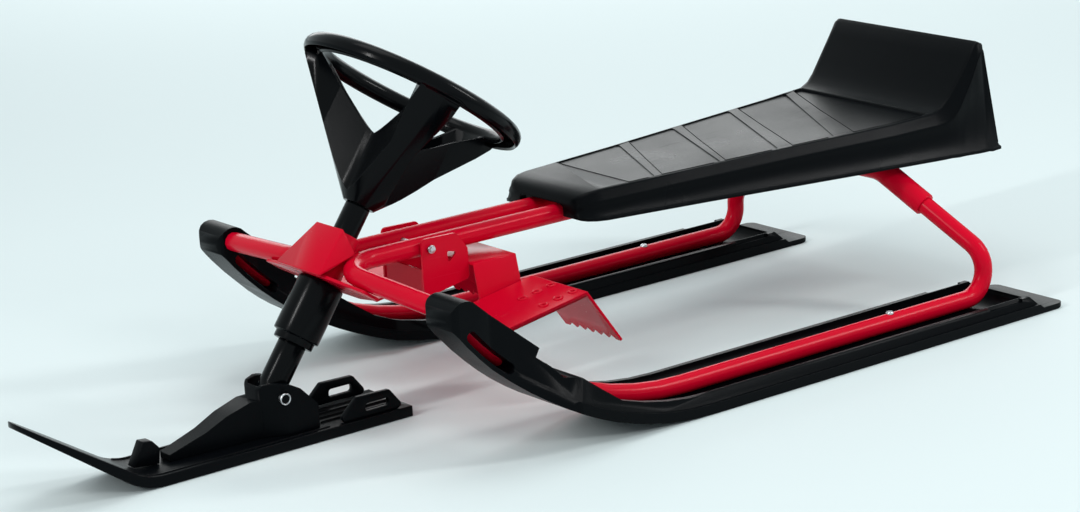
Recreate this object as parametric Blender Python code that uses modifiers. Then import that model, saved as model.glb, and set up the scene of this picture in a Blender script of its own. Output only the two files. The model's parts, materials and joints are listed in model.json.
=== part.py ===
"""Steerable snow sled: a tube frame on two rear skis, a moulded seat, a foot brake and a steered front ski.

Metres. +X points to the sled's rear, +Y to its right side, +Z up, and the floor is z = 0.
"""

import math

import bmesh
import bpy
from mathutils import Matrix, Vector

# How far a cutter reaches past what it cuts
CUTTER_REACH = 0.3

# Clearances
TOUCH_GAP = 0.0003
PIN_PLAY = 0.0004
TURN_GAP = 0.0006

# Rear skis. A distance runs forward along the sole from where it starts to climb.
SKI_TRACK = 0.410
SKI_WIDTH = 0.105
SKI_NOSE_WIDTH = 0.047
SKI_NECK_INNER = 0.0285
SKI_TAIL_X = 0.545
SKI_LIFT_X = 0.046
SKI_BEND_RADIUS = 0.360
SKI_NOSE_AT = 0.331
SKI_NOSE_THICKNESS = 0.035
SKI_CORNER_RADIUS = 0.010
SKI_PAN_HEIGHT = 0.0105
SKI_FLANGE = 0.004
SKI_FLANGE_END = 0.061
SKI_OUTER_TAPER = 0.170
SKI_INNER_TAPER = 0.100
SKI_TAPER_LENGTH = 0.100
SKI_WALL_HEIGHT = 0.021
SKI_WALL = 0.010
SKI_FLOOR = 0.009
SKI_TROUGH_END_X = 0.500
SKI_TROUGH_INNER = 0.098
SKI_TROUGH_OUTER = 0.135
SKI_TAIL_LIP = 0.006
SKI_TAIL_RAMP = 0.018
SKI_TAIL_LIP_LENGTH = 0.032
SKI_WINDOW_FRONT = 0.013
SKI_WINDOW_REAR = 0.079
SKI_WINDOW_LOW = 0.0045
SKI_WINDOW_HIGH = 0.0155
SKI_PEG_BACK = 0.1325
SKI_PEG_SIZE = 0.006
SKI_PEG_TOP = 0.0345
SOLE_GROOVE_OFFSET = 0.018
SOLE_GROOVE_WIDTH = 0.004
SOLE_GROOVE_DEPTH = 0.0015
SOLE_GROOVE_FRONT = 0.200
SOLE_GROOVE_REAR_X = 0.500
# Top of the nose: distance back from the nose's centre, and height above the sole
SKI_TOP = (
    (0.0883, 0.0410),
    (0.0910, 0.0317),
    (0.1105, 0.0310),
    (0.1292, 0.0270),
    (0.1483, 0.0330),
    (0.1791, 0.0280),
    (0.2098, 0.0210),
)

# Side tubes
TUBE_RADIUS = 0.010
TUBE_SEAT_DEPTH = 0.0005
TUBE_BEND_REAR = 0.029
TUBE_BEND_NOSE = 0.028
TUBE_BEND_HEAD = 0.044
TUBE_NOSE_STRAIGHT = 0.041
RAIL_HALF_GAP = 0.021
RAIL_HEIGHT = 0.166
RAIL_REAR_X = 0.470
HEAD_BEND_X = -0.236
REAR_BEND_X = 0.478
KNEE_X = 0.475
KNEE_INSET = 0.002
KNEE_HEIGHT = 0.066
SHOULDER_X = 0.452
SHOULDER_HALF = 0.074
SLEEVE_RADIUS = 0.0130
SLEEVE_START = 0.56
RAIL_TIE_FRONT_X = -0.185
RAIL_TIE_LENGTH = 0.035
RAIL_TIE_THICKNESS = 0.0015

# Steering. An s runs up the steering axis from the point where it leaves the head.
STEER_TILT = math.radians(36)
STEER_POINT = Vector((-0.203, 0.0, RAIL_HEIGHT + 0.029))
WHEEL_S = 0.152
RIM_RADIUS = 0.1085
RIM_SECTION = 0.01025
RIM_WALL = 0.003
RIM_SLOT_ANGLE = 50
WHEEL_TURN = math.radians(8)
ARM_TOP = 0.001
ARM_BOTTOM = 0.0095
ARM_WIDTH = 0.045
ARM_WAIST = 0.028
ARM_WAIST_AT = 0.066
ARM_WALL = 0.003
ARM_HOLLOW_START = 0.034
HUB_RIM_RADIUS = 0.0231
HUB_RIM_DEPTH = 0.0555
HUB_FLOOR_DEPTH = 0.062
HUB_BOTTOM = 0.126
HUB_RADIUS = 0.0165
HUB_WIDTH = 0.040
HUB_WIDTH_AT = 0.0116
WHEEL_ARMS = 3
COLUMN_RADIUS = 0.013
HEAD_TUBE_RADIUS = 0.017
HEAD_TUBE_TOP_S = -0.006
HEAD_PLATE_THICKNESS = 0.003
HEAD_ARM_Y = 0.088
HEAD_THROAT_Y = 0.037
HOUSING_RADIUS = 0.024
HOUSING_BOTTOM_S = -0.1177
HOUSING_COLLAR_RADIUS = 0.0205
HOUSING_COLLAR_LENGTH = 0.008
STEM_RADIUS = 0.0145
PIVOT_HEIGHT = 0.050
EYE_RADIUS = 0.0130
EYE_WIDTH = 0.019
PIVOT_PIN_RADIUS = 0.004
PIVOT_PIN_END = 0.002
# Hood round the front of the head: each corner from the steering point, forward and up, and its half width
HOOD_LOW = (-0.0595, 0.037, -0.0293)
HOOD_HIGH = (-0.0179, 0.0225, 0.0053)
HOOD_REAR = (-0.0150, 0.033, -0.0173)
HOOD_WALL = 0.0025

# Front ski. Places on its deck are measured from the pivot.
FRONT_TIP_X = -0.587
FRONT_TAIL_X = -0.166
FRONT_WIDTH = 0.078
FRONT_THICKNESS = 0.011
FRONT_LIFT_X = -0.452
FRONT_BEND_RADIUS = 0.070
FRONT_RISE_ANGLE = math.radians(36)
FRONT_TIP_THICKNESS = 0.006
FRONT_TIP_RADIUS = 0.034
DECK_RIBS = (-0.018, -0.006, 0.006, 0.018)
DECK_RIB_SIZE = 0.002
DECK_RIB_START = 0.046
DECK_RIB_END = 0.136
SADDLE_WIDTH = 0.056
SADDLE_CHEEK = 0.0075
SADDLE_CORNER = 0.008
SADDLE_FRONT = -0.0210
SADDLE_FRONT_WIDTH = 0.026
SADDLE_SHOULDER = 0.004
SADDLE_FRONT_WALL = 0.0030
SADDLE_REAR = 0.0384
POCKET_FLOOR = 0.020
RIDGE_FRONT = -0.1216
RIDGE_FRONT_HALF = 0.009
RIDGE_REAR_HALF = 0.014
LOOP_THICKNESS = 0.006
LOOP_INSET = 0.003
ANCHOR_WIDTH = 0.013

# Brake. Places on the yoke are measured from its bolt.
BRAKE_PIVOT = Vector((-0.130, 0.0, RAIL_HEIGHT))
BRAKE_BOLT_RADIUS = 0.003
BRAKE_BOLT_END = 0.003
BRAKE_SHEET = 0.0025
BRAKE_EAR_GAP = 0.0025
BRAKE_EAR_LENGTH = 0.046
BRAKE_WEB_X = -0.0085
BRAKE_WEB_LOW = -0.047
BRAKE_WEB_HIGH = -0.021
BRIDGE_LENGTH = 0.0537
BRIDGE_DROP = 0.024
BRIDGE_SLANT = 0.008
PEDAL_INNER_Y = 0.052
PEDAL_OUTER_Y = 0.143
PEDAL_FRONT_X = -0.140
PEDAL_REAR_X = -0.017
PEDAL_DROP = 0.068
PEDAL_RISE = math.radians(9)
PEDAL_LIP = 0.005
PEDAL_LIP_INSET = 0.0004
PEDAL_HOLE_RADIUS = 0.0023
PEDAL_HOLE_COLUMNS = (0.0075, 0.0260, 0.0445)
PEDAL_HOLE_ROWS = (0.0415, 0.0765)
CLAW_LENGTH = 0.072
CLAW_ANGLE = math.radians(55)
CLAW_TEETH = 7
CLAW_TOOTH_LENGTH = 0.008
CLAW_TOOTH_TIP = 0.002

# Seat
SEAT_WALL = 0.0035
SEAT_RISE = 0.0259
SEAT_SLOPE = 0.016
SEAT_EDGE_RADIUS = 0.004
SEAT_BEAD = 0.0012
SEAT_BEAD_HALF = 0.0018
SEAT_RIM = 0.0014
SEAT_RIM_HEIGHT = 0.003
SEAT_HOLLOW_DEPTH = 0.02
SEAT_ARCH_DEPTH = 0.030
SEAT_ARCH_GAP = 0.006
SEAT_ARCH_CROWN = 0.0025
SEAT_RIBS = (0.120, 0.300, 0.440)
SEAT_RIB_HALF = 0.033
TREAD_DEPTH = 0.001
TREAD_MARGIN = 0.006
# Sections: x, half width of the top, its height above the seat's straight top line,
# half width of the skirt, height of the skirt's edge below the rails' axis, depth of the bead below the top
SEAT_SECTIONS = (
    (0.038, 0.047, -0.0135, 0.055, 0.000, 0.006),
    (0.040, 0.054, -0.0075, 0.062, 0.001, 0.008),
    (0.045, 0.059, -0.0035, 0.067, 0.002, 0.010),
    (0.054, 0.063, -0.0010, 0.071, 0.003, 0.011),
    (0.067, 0.065, 0.0000, 0.073, 0.004, 0.012),
    (0.190, 0.076, 0.0000, 0.086, 0.007, 0.012),
    (0.320, 0.091, 0.0000, 0.102, 0.010, 0.012),
    (0.440, 0.105, 0.0000, 0.117, 0.013, 0.013),
    (0.500, 0.110, 0.0015, 0.122, 0.015, 0.014),
    (0.512, 0.111, 0.0065, 0.123, 0.015, 0.018),
    (0.522, 0.112, 0.0155, 0.1235, 0.016, 0.023),
    (0.532, 0.113, 0.0280, 0.124, 0.016, 0.026),
    (0.552, 0.114, 0.0545, 0.125, 0.017, 0.022),
    (0.561, 0.114, 0.0680, 0.126, 0.017, 0.018),
    (0.566, 0.114, 0.0705, 0.126, 0.017, 0.014),
    (0.572, 0.113, 0.0680, 0.126, 0.018, 0.009),
    (0.587, 0.116, -0.0393, 0.124, 0.018, 0.006),
)
# Treads sunk in the seat's top: x of the front line at the right and at the left, then of the rear line
TREADS = (
    (0.109, 0.106, 0.138, 0.200),
    (0.216, 0.148, 0.221, 0.285),
    (0.300, 0.228, 0.295, 0.376),
    (0.391, 0.314, 0.368, 0.470),
    (0.484, 0.394, 0.494, 0.496),
)


def clear_scene():
    for obj in list(bpy.data.objects):
        bpy.data.objects.remove(obj, do_unlink=True)
    for collection in list(bpy.data.collections):
        bpy.data.collections.remove(collection)


def new_collection(name):
    collection = bpy.data.collections.new(name)
    bpy.context.scene.collection.children.link(collection)
    return collection


def new_material(name, color, roughness, metallic):
    material = bpy.data.materials.new(name)
    material.use_nodes = True
    shader = material.node_tree.nodes["Principled BSDF"]
    shader.inputs["Base Color"].default_value = (*color, 1.0)
    shader.inputs["Roughness"].default_value = roughness
    shader.inputs["Metallic"].default_value = metallic
    material.diffuse_color = (*color, 1.0)
    return material


clear_scene()
PARTS = new_collection("snow_sled")
CUTTERS = new_collection("cutters")
BLACK = new_material("black_plastic", (0.012, 0.014, 0.016), 0.38, 0.0)
RED = new_material("red_paint", (0.62, 0.012, 0.03), 0.32, 0.0)
STEEL = new_material("zinc_steel", (0.62, 0.63, 0.65), 0.35, 1.0)


def add_object(name, data, collection, material=None):
    obj = bpy.data.objects.new(name, data)
    collection.objects.link(obj)
    if material is not None:
        data.materials.append(material)
    if collection is CUTTERS:
        obj.hide_render = True
        obj.display_type = "WIRE"
    return obj


def mesh_copy(obj, name, collection, material=None):
    """The evaluated object as a welded mesh, and the source removed."""
    bpy.context.view_layer.update()
    evaluated = obj.evaluated_get(bpy.context.evaluated_depsgraph_get())
    mesh = bpy.data.meshes.new_from_object(evaluated)
    matrix = obj.matrix_world.copy()
    bpy.data.objects.remove(obj, do_unlink=True)
    bm = bmesh.new()
    bm.from_mesh(mesh)
    bmesh.ops.remove_doubles(bm, verts=bm.verts, dist=1e-6)
    bmesh.ops.recalc_face_normals(bm, faces=bm.faces)
    bm.to_mesh(mesh)
    bm.free()
    mesh.materials.clear()
    made = add_object(name, mesh, collection, material)
    made.matrix_world = matrix
    return made


def tube(name, points, radius, collection, material=None, sides=12):
    """A round bar through the points, as a welded mesh."""
    curve = bpy.data.curves.new(name, "CURVE")
    curve.dimensions = "3D"
    curve.bevel_depth = radius
    curve.bevel_resolution = (sides - 4) // 2
    curve.use_fill_caps = True
    spline = curve.splines.new("POLY")
    spline.points.add(len(points) - 1)
    for place, point in zip(spline.points, points):
        place.co = (*point, 1.0)
    return mesh_copy(add_object(name + "_route", curve, PARTS), name, collection, material)


def plate(name, outlines, thickness, frame, collection, material=None):
    """A flat outline, with any further outlines as holes, thickened about the frame's local XY plane."""
    curve = bpy.data.curves.new(name, "CURVE")
    curve.dimensions = "2D"
    curve.fill_mode = "BOTH"
    curve.extrude = thickness / 2
    for outline in outlines:
        spline = curve.splines.new("POLY")
        spline.points.add(len(outline) - 1)
        spline.use_cyclic_u = True
        for place, point in zip(spline.points, outline):
            place.co = (point[0], point[1], 0.0, 1.0)
    obj = add_object(name + "_outline", curve, PARTS)
    obj.matrix_world = frame
    return mesh_copy(obj, name, collection, material)


def turned(name, profile, frame, collection, material=None, steps=32):
    """A profile of (radius, height) pairs, top to bottom on its outer side, turned about the frame's Z."""
    bm = bmesh.new()
    points = [bm.verts.new((radius, 0.0, height)) for radius, height in profile]
    for start, end in zip(points, points[1:]):
        bm.edges.new((start, end))
    if profile[0][0] > 0:
        bm.edges.new((points[-1], points[0]))
    mesh = bpy.data.meshes.new(name)
    bm.to_mesh(mesh)
    bm.free()
    obj = add_object(name, mesh, collection, material)
    obj.matrix_world = frame
    screw = obj.modifiers.new("turn", "SCREW")
    screw.steps = screw.render_steps = steps
    screw.use_merge_vertices = True
    screw.merge_threshold = 0.00001
    return mesh_copy(obj, name, collection, material)


def box(name, low, high, collection, material=None):
    bm = bmesh.new()
    bmesh.ops.create_cube(bm, size=1.0)
    size = [b - a for a, b in zip(low, high)]
    bmesh.ops.scale(bm, vec=size, verts=bm.verts)
    bmesh.ops.translate(bm, vec=[(a + b) / 2 for a, b in zip(low, high)], verts=bm.verts)
    mesh = bpy.data.meshes.new(name)
    bm.to_mesh(mesh)
    bm.free()
    return add_object(name, mesh, collection, material)


def combine(obj, other, operation):
    """Applies a Boolean on obj and moves the other object to the cutters."""
    modifier = obj.modifiers.new(operation.lower(), "BOOLEAN")
    modifier.operation = operation
    modifier.solver = "EXACT"
    modifier.object = other
    if other.name not in CUTTERS.objects:
        for home in list(other.users_collection):
            home.objects.unlink(other)
        CUTTERS.objects.link(other)
    other.hide_render = True
    other.display_type = "WIRE"


def smooth(obj, angle=35):
    obj.data.shade_smooth()
    obj.data.set_sharp_from_angle(angle=math.radians(angle))


def bent_route(vertices, radii, step=math.radians(9)):
    """A route through straight runs with a round bend at each inner vertex."""
    points = [Vector(vertices[0])]
    for before, corner, after, radius in zip(vertices, vertices[1:], vertices[2:], radii):
        before, corner, after = Vector(before), Vector(corner), Vector(after)
        way_in = (corner - before).normalized()
        way_out = (after - corner).normalized()
        turn = way_in.angle(way_out)
        side = (way_out - way_in * way_in.dot(way_out)).normalized()
        start = corner - way_in * radius * math.tan(turn / 2)
        centre = start + side * radius
        count = max(2, round(turn / step))
        for number in range(count + 1):
            angle = turn * number / count
            points.append(centre - side * radius * math.cos(angle) + way_in * radius * math.sin(angle))
    points.append(Vector(vertices[-1]))
    return points


def arc(centre, radius, start, end, count):
    """Points of a flat arc, with the angles in degrees."""
    points = []
    for number in range(count + 1):
        angle = math.radians(start + (end - start) * number / count)
        points.append((centre[0] + radius * math.cos(angle), centre[1] + radius * math.sin(angle)))
    return points


def rounded(corners, radius, count=4):
    """A closed outline with its corners rounded."""
    points = []
    total = len(corners)
    for index, corner in enumerate(corners):
        here = Vector(corner)
        way_in = (here - Vector(corners[index - 1])).normalized()
        way_out = (Vector(corners[(index + 1) % total]) - here).normalized()
        turn = way_in.angle(way_out)
        if turn < math.radians(8):
            points.append(tuple(here))
            continue
        back = radius * math.tan(turn / 2)
        side = (way_out - way_in * way_in.dot(way_out)).normalized()
        centre = here - way_in * back + side * radius
        for number in range(count + 1):
            angle = turn * number / count
            place = centre - side * radius * math.cos(angle) + way_in * radius * math.sin(angle)
            points.append(tuple(place))
    return points


# Frames for flat outlines: local X and Y as named, and local Z the thickness direction.
SIDE_VIEW = Matrix(((1, 0, 0, 0), (0, 0, -1, 0), (0, 1, 0, 0), (0, 0, 0, 1)))
PLAN_VIEW = Matrix.Identity(4)
STEER_AXIS = Vector((math.sin(STEER_TILT), 0.0, math.cos(STEER_TILT)))
STEER_DOWN = Vector((math.cos(STEER_TILT), 0.0, -math.sin(STEER_TILT)))


def steer_frame(s):
    """Local X runs down to the rear in the wheel's plane, local Y to the right, local Z up the column."""
    place = STEER_POINT + STEER_AXIS * s
    turn = Matrix((STEER_DOWN, (0.0, 1.0, 0.0), STEER_AXIS)).transposed().to_4x4()
    return Matrix.Translation(place) @ turn


def steer_s(height):
    """The place along the steering axis at a height."""
    return (height - STEER_POINT.z) / STEER_AXIS.z


def side_frame(y):
    return Matrix.Translation((0.0, y, 0.0)) @ SIDE_VIEW


def front_frame(x):
    """Local X runs to the right, local Y up, and local Z to the rear."""
    return Matrix(((0, 0, 1, x), (1, 0, 0, 0), (0, 1, 0, 0), (0, 0, 0, 1)))


def ski_path(distance, height):
    """A point above the rear ski's sole, measured forward from where the sole starts to climb."""
    if distance <= 0:
        return (SKI_LIFT_X - distance, height)
    angle = distance / SKI_BEND_RADIUS
    radius = SKI_BEND_RADIUS - height
    return (SKI_LIFT_X - radius * math.sin(angle), SKI_BEND_RADIUS - radius * math.cos(angle))


def ski_line(start, end, height, count):
    """Points at one height above the sole, from one distance to another."""
    return [ski_path(start + (end - start) * part / count, height) for part in range(count + 1)]


NOSE_CENTRE = ski_path(SKI_NOSE_AT, SKI_NOSE_THICKNESS / 2)
NOSE_DEGREES = math.degrees(SKI_NOSE_AT / SKI_BEND_RADIUS)
TUBE_OFFSET = SKI_FLOOR + TUBE_RADIUS + TOUCH_GAP - TUBE_SEAT_DEPTH
TUBE_NOSE = ski_path(SKI_NOSE_AT, TUBE_OFFSET)
SKI_TAIL = SKI_LIFT_X - SKI_TAIL_X


def ski_plan(name, side, inset, flare):
    """The ski's outline seen from above: wide behind, and tapered to the nose on both sides."""
    half, nose = SKI_WIDTH / 2 - inset, SKI_NOSE_WIDTH / 2
    neck = SKI_NECK_INNER - inset * 0.75
    tail_x = SKI_TAIL_X + TOUCH_GAP - inset
    nose_x = NOSE_CENTRE[0] - SKI_NOSE_THICKNESS / 2 - TOUCH_GAP
    waist = nose - inset / 4
    outer = [(tail_x, half), (ski_path(SKI_OUTER_TAPER - inset, 0)[0], half)]
    outer += [(ski_path(SKI_OUTER_TAPER + SKI_TAPER_LENGTH, 0)[0], waist), (nose_x, nose + flare)]
    inner = [(nose_x, -nose - flare), (ski_path(SKI_NOSE_AT - SKI_FLANGE_END, 0)[0], -waist)]
    inner += [(ski_path(SKI_INNER_TAPER + SKI_TAPER_LENGTH, 0)[0], -neck)]
    inner += [(ski_path(SKI_INNER_TAPER - inset, 0)[0], -half), (tail_x, -half)]
    outline = rounded([(x, side * y) for x, y in outer + inner], SKI_CORNER_RADIUS)
    shape = Matrix.Translation((0.0, side * SKI_TRACK / 2, 0.1))
    return plate(name, [outline], CUTTER_REACH, shape, CUTTERS)


def ski_profile(name, middle):
    """The ski's side view: a sole that sweeps up to a round nose, a strapped cover and low walls."""
    sole = ski_line(0.0, SKI_NOSE_AT, 0.0, 16)
    nose = arc(NOSE_CENTRE, SKI_NOSE_THICKNESS / 2, 270 - NOSE_DEGREES, 90 - NOSE_DEGREES, 10)
    top = [ski_path(SKI_NOSE_AT - back, height) for back, height in SKI_TOP]
    lip_x = SKI_TAIL_X - SKI_TAIL_LIP_LENGTH
    top += ski_line(SKI_NOSE_AT - SKI_TOP[-1][0], 0.0, SKI_WALL_HEIGHT, 4)[1:]
    tail = [(lip_x - SKI_TAIL_RAMP, SKI_WALL_HEIGHT), (lip_x, SKI_TAIL_LIP), (SKI_TAIL_X, SKI_TAIL_LIP)]
    tail += [(SKI_TAIL_X, SKI_TAIL_LIP / 3), (SKI_TAIL_X - SKI_CORNER_RADIUS, 0.0)]
    return plate(name, [sole + nose[1:] + top + tail], SKI_WIDTH, side_frame(middle), PARTS, BLACK)


def ski_trough(name, side, middle):
    """The well that the tube lies in, with a slanted front end."""
    floor = ski_line(SKI_TROUGH_OUTER, 0.0, SKI_FLOOR, 5)
    outline = floor + [(SKI_TROUGH_END_X, SKI_FLOOR), (SKI_TROUGH_END_X, 0.09), (floor[0][0], 0.09)]
    half = SKI_WIDTH / 2 - SKI_WALL
    trough = plate(name, [outline], 2 * half, side_frame(middle), CUTTERS)
    inner_x, outer_x = ski_path(SKI_TROUGH_INNER, 0)[0], ski_path(SKI_TROUGH_OUTER, 0)[0]
    past = SKI_TROUGH_END_X + SKI_WALL
    wide = half + TOUCH_GAP
    plan = [(past, side * wide), (outer_x, side * wide), (inner_x, -side * wide), (past, -side * wide)]
    place = Matrix.Translation((0.0, middle, 0.0))
    combine(trough, plate(name + "_plan", [plan], CUTTER_REACH, place, CUTTERS), "INTERSECT")
    return mesh_copy(trough, name + "_well", CUTTERS)


def rear_ski(name, side):
    middle = side * SKI_TRACK / 2
    frame = side_frame(middle)
    ski = ski_profile(name, middle)
    combine(ski, ski_plan(name + "_plan", side, 0.0, 0.0), "INTERSECT")

    above = ski_line(SKI_TAIL - SKI_WALL, 0.0, SKI_PAN_HEIGHT, 1)
    above += ski_line(0.0, SKI_NOSE_AT - SKI_FLANGE_END / 2, SKI_PAN_HEIGHT, 10)[1:]
    above += [(above[-1][0], 0.25), (above[0][0], 0.25)]
    shoulder = plate(name + "_above", [above], SKI_TRACK / 2, frame, CUTTERS)
    combine(shoulder, ski_plan(name + "_body_plan", side, SKI_FLANGE, SKI_WALL), "DIFFERENCE")
    combine(ski, mesh_copy(shoulder, name + "_shoulder", CUTTERS), "DIFFERENCE")

    front, rear = SKI_NOSE_AT - SKI_WINDOW_FRONT, SKI_NOSE_AT - SKI_WINDOW_REAR
    window = ski_line(front, rear, SKI_WINDOW_LOW, 4) + ski_line(rear, front, SKI_WINDOW_HIGH, 4)
    window = rounded(window, (SKI_WINDOW_HIGH - SKI_WINDOW_LOW) * 0.45)
    combine(ski, plate(name + "_window", [window], SKI_WIDTH, frame, CUTTERS), "DIFFERENCE")

    peg_rear, peg_front = SKI_NOSE_AT - SKI_PEG_BACK - SKI_PEG_SIZE, SKI_NOSE_AT - SKI_PEG_BACK
    peg_foot = SKI_PEG_TOP - 2 * SKI_PEG_SIZE
    peg = ski_line(peg_rear, peg_front, peg_foot, 1) + ski_line(peg_front, peg_rear, SKI_PEG_TOP, 1)
    combine(ski, plate(name + "_peg", [peg], SKI_PEG_SIZE, frame, CUTTERS), "UNION")

    combine(ski, ski_trough(name + "_trough", side, middle), "DIFFERENCE")
    route = side_tube_route(side)
    combine(ski, tube(name + "_tube_seat", route, TUBE_RADIUS + TOUCH_GAP, CUTTERS), "DIFFERENCE")

    groove = [(SOLE_GROOVE_REAR_X, -0.01), (SOLE_GROOVE_REAR_X, SOLE_GROOVE_DEPTH)]
    groove += ski_line(0.0, SOLE_GROOVE_FRONT, SOLE_GROOVE_DEPTH, 8)
    groove += ski_line(SOLE_GROOVE_FRONT, 0.0, -0.01, 8)
    for number, offset in enumerate((-SOLE_GROOVE_OFFSET, SOLE_GROOVE_OFFSET)):
        cutter = plate(f"{name}_groove_{number}", [groove], SOLE_GROOVE_WIDTH, side_frame(middle + offset), CUTTERS)
        combine(ski, cutter, "DIFFERENCE")
    smooth(ski)
    return ski


def side_tube_route(side):
    """From under the seat forward to the head, out to the ski's nose, back along the ski and up the leg."""
    y = side * SKI_TRACK / 2
    straight_end = ski_path(SKI_NOSE_AT - TUBE_NOSE_STRAIGHT, TUBE_OFFSET)
    vertices = [
        (RAIL_REAR_X, side * RAIL_HALF_GAP, RAIL_HEIGHT),
        (HEAD_BEND_X, side * RAIL_HALF_GAP, RAIL_HEIGHT),
        (TUBE_NOSE[0], y, TUBE_NOSE[1]),
        (straight_end[0], y, straight_end[1]),
    ]
    front = bent_route(vertices, (TUBE_BEND_HEAD, TUBE_BEND_NOSE))[:-1]
    bend = [Vector((x, y, z)) for x, z in ski_line(SKI_NOSE_AT - TUBE_NOSE_STRAIGHT, 0.0, TUBE_OFFSET, 9)]
    rear = bent_route(
        [bend[-1], (REAR_BEND_X, y, TUBE_OFFSET), knee(side), sleeve_mouth(side)], (TUBE_BEND_REAR, TUBE_BEND_REAR)
    )
    return front + bend + rear[1:]


def knee(side):
    return Vector((KNEE_X, side * (SKI_TRACK / 2 - KNEE_INSET), KNEE_HEIGHT))


def shoulder(side):
    """The end of the cross-member's flat middle, which lies under the rails."""
    return Vector((SHOULDER_X, side * SHOULDER_HALF, RAIL_HEIGHT - TUBE_RADIUS - SLEEVE_RADIUS - TOUCH_GAP))


def sleeve_mouth(side):
    """Where the leg goes into the cross-member's sleeve, on the straight from knee to shoulder."""
    return knee(side).lerp(shoulder(side), SLEEVE_START)


def side_tube(name, side):
    made = tube(name, side_tube_route(side), TUBE_RADIUS, PARTS, RED)
    combine(made, bolt_cutter(name + "_bolt_hole", BRAKE_BOLT_RADIUS + TOUCH_GAP), "DIFFERENCE")
    smooth(made)
    return made


def bolt_cutter(name, radius):
    x, z = BRAKE_PIVOT.x, BRAKE_PIVOT.z
    return tube(name, [(x, -0.05, z), (x, 0.05, z)], radius, CUTTERS)


def seat_crossmember():
    mouths = []
    for side in (-1, 1):
        mouth = sleeve_mouth(side)
        mouths.append(mouth + (shoulder(side) - mouth).normalized() * TOUCH_GAP)
    route = bent_route([mouths[0], shoulder(-1), shoulder(1), mouths[1]], (TUBE_BEND_REAR, TUBE_BEND_REAR))
    made = tube("seat_crossmember", route, SLEEVE_RADIUS, PARTS, RED)
    smooth(made)
    return made


def head_plate_s():
    """The height at which the head plate's arms lie just under the outswept tubes."""
    places = []
    start = Vector((HEAD_BEND_X, RAIL_HEIGHT))
    for y in (HEAD_THROAT_Y, HEAD_ARM_Y):
        share = (y - RAIL_HALF_GAP) / (SKI_TRACK / 2 - RAIL_HALF_GAP)
        x, z = start.lerp(Vector(TUBE_NOSE), share)
        places.append((Vector((x, 0.0, z)) - STEER_POINT).dot(STEER_AXIS))
    return min(places) - TUBE_RADIUS - PIN_PLAY


HEAD_PLATE_S = head_plate_s()


def head_tube():
    bottom = HEAD_PLATE_S + TOUCH_GAP
    bore = COLUMN_RADIUS + PIN_PLAY
    profile = [(HEAD_TUBE_RADIUS, HEAD_TUBE_TOP_S), (HEAD_TUBE_RADIUS, bottom), (bore, bottom), (bore, HEAD_TUBE_TOP_S)]
    made = turned("head_tube", profile, steer_frame(0.0), PARTS, RED)
    smooth(made)
    return made


def head_plate():
    half = [(-0.025, -HEAD_THROAT_Y), (-0.012, -HEAD_ARM_Y), (0.008, -HEAD_ARM_Y), (0.030, -0.030)]
    outline = half + [(x, -y) for x, y in reversed(half)]
    hole = arc((0.0, 0.0), COLUMN_RADIUS + PIN_PLAY, 360, 15, 23)
    frame = steer_frame(HEAD_PLATE_S - HEAD_PLATE_THICKNESS / 2)
    return plate("head_plate", [rounded(outline, 0.004), hole], HEAD_PLATE_THICKNESS, frame, PARTS, RED)


def head_hood():
    """Folded sheet round the front of the head tube: a front face and two cheeks."""
    bm = bmesh.new()
    corners = {}
    for side in (-1, 1):
        for label, (x, y, z) in (("low", HOOD_LOW), ("high", HOOD_HIGH), ("rear", HOOD_REAR)):
            corners[label, side] = bm.verts.new((STEER_POINT.x + x, side * y, STEER_POINT.z + z))
    bm.faces.new([corners["low", -1], corners["low", 1], corners["high", 1], corners["high", -1]])
    bm.faces.new([corners["low", 1], corners["rear", 1], corners["high", 1]])
    bm.faces.new([corners["low", -1], corners["high", -1], corners["rear", -1]])
    bmesh.ops.recalc_face_normals(bm, faces=bm.faces)
    mesh = bpy.data.meshes.new("head_hood")
    bm.to_mesh(mesh)
    bm.free()
    made = add_object("head_hood", mesh, PARTS, RED)
    wall = made.modifiers.new("wall", "SOLIDIFY")
    wall.thickness = HOOD_WALL
    wall.offset = 1.0
    wall.use_even_offset = True
    return made


def wheel_star(wall):
    """The arms seen along the axis, each edge moved in by the wall."""
    half = ((HUB_WIDTH_AT, HUB_WIDTH / 2), (ARM_WAIST_AT, ARM_WAIST / 2))
    half += ((RIM_RADIUS - RIM_SECTION, ARM_WIDTH / 2), (RIM_RADIUS + RIM_SECTION, ARM_WIDTH / 2))
    edge = [(along, across - wall) for along, across in half]
    outlines = []
    for number in range(WHEEL_ARMS):
        turn = Matrix.Rotation(WHEEL_TURN + 2 * math.pi * number / WHEEL_ARMS, 2)
        arm = [(along, -across) for along, across in edge] + edge[::-1]
        outlines.append([tuple(turn @ Vector(point)) for point in arm])
    return outlines


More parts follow.
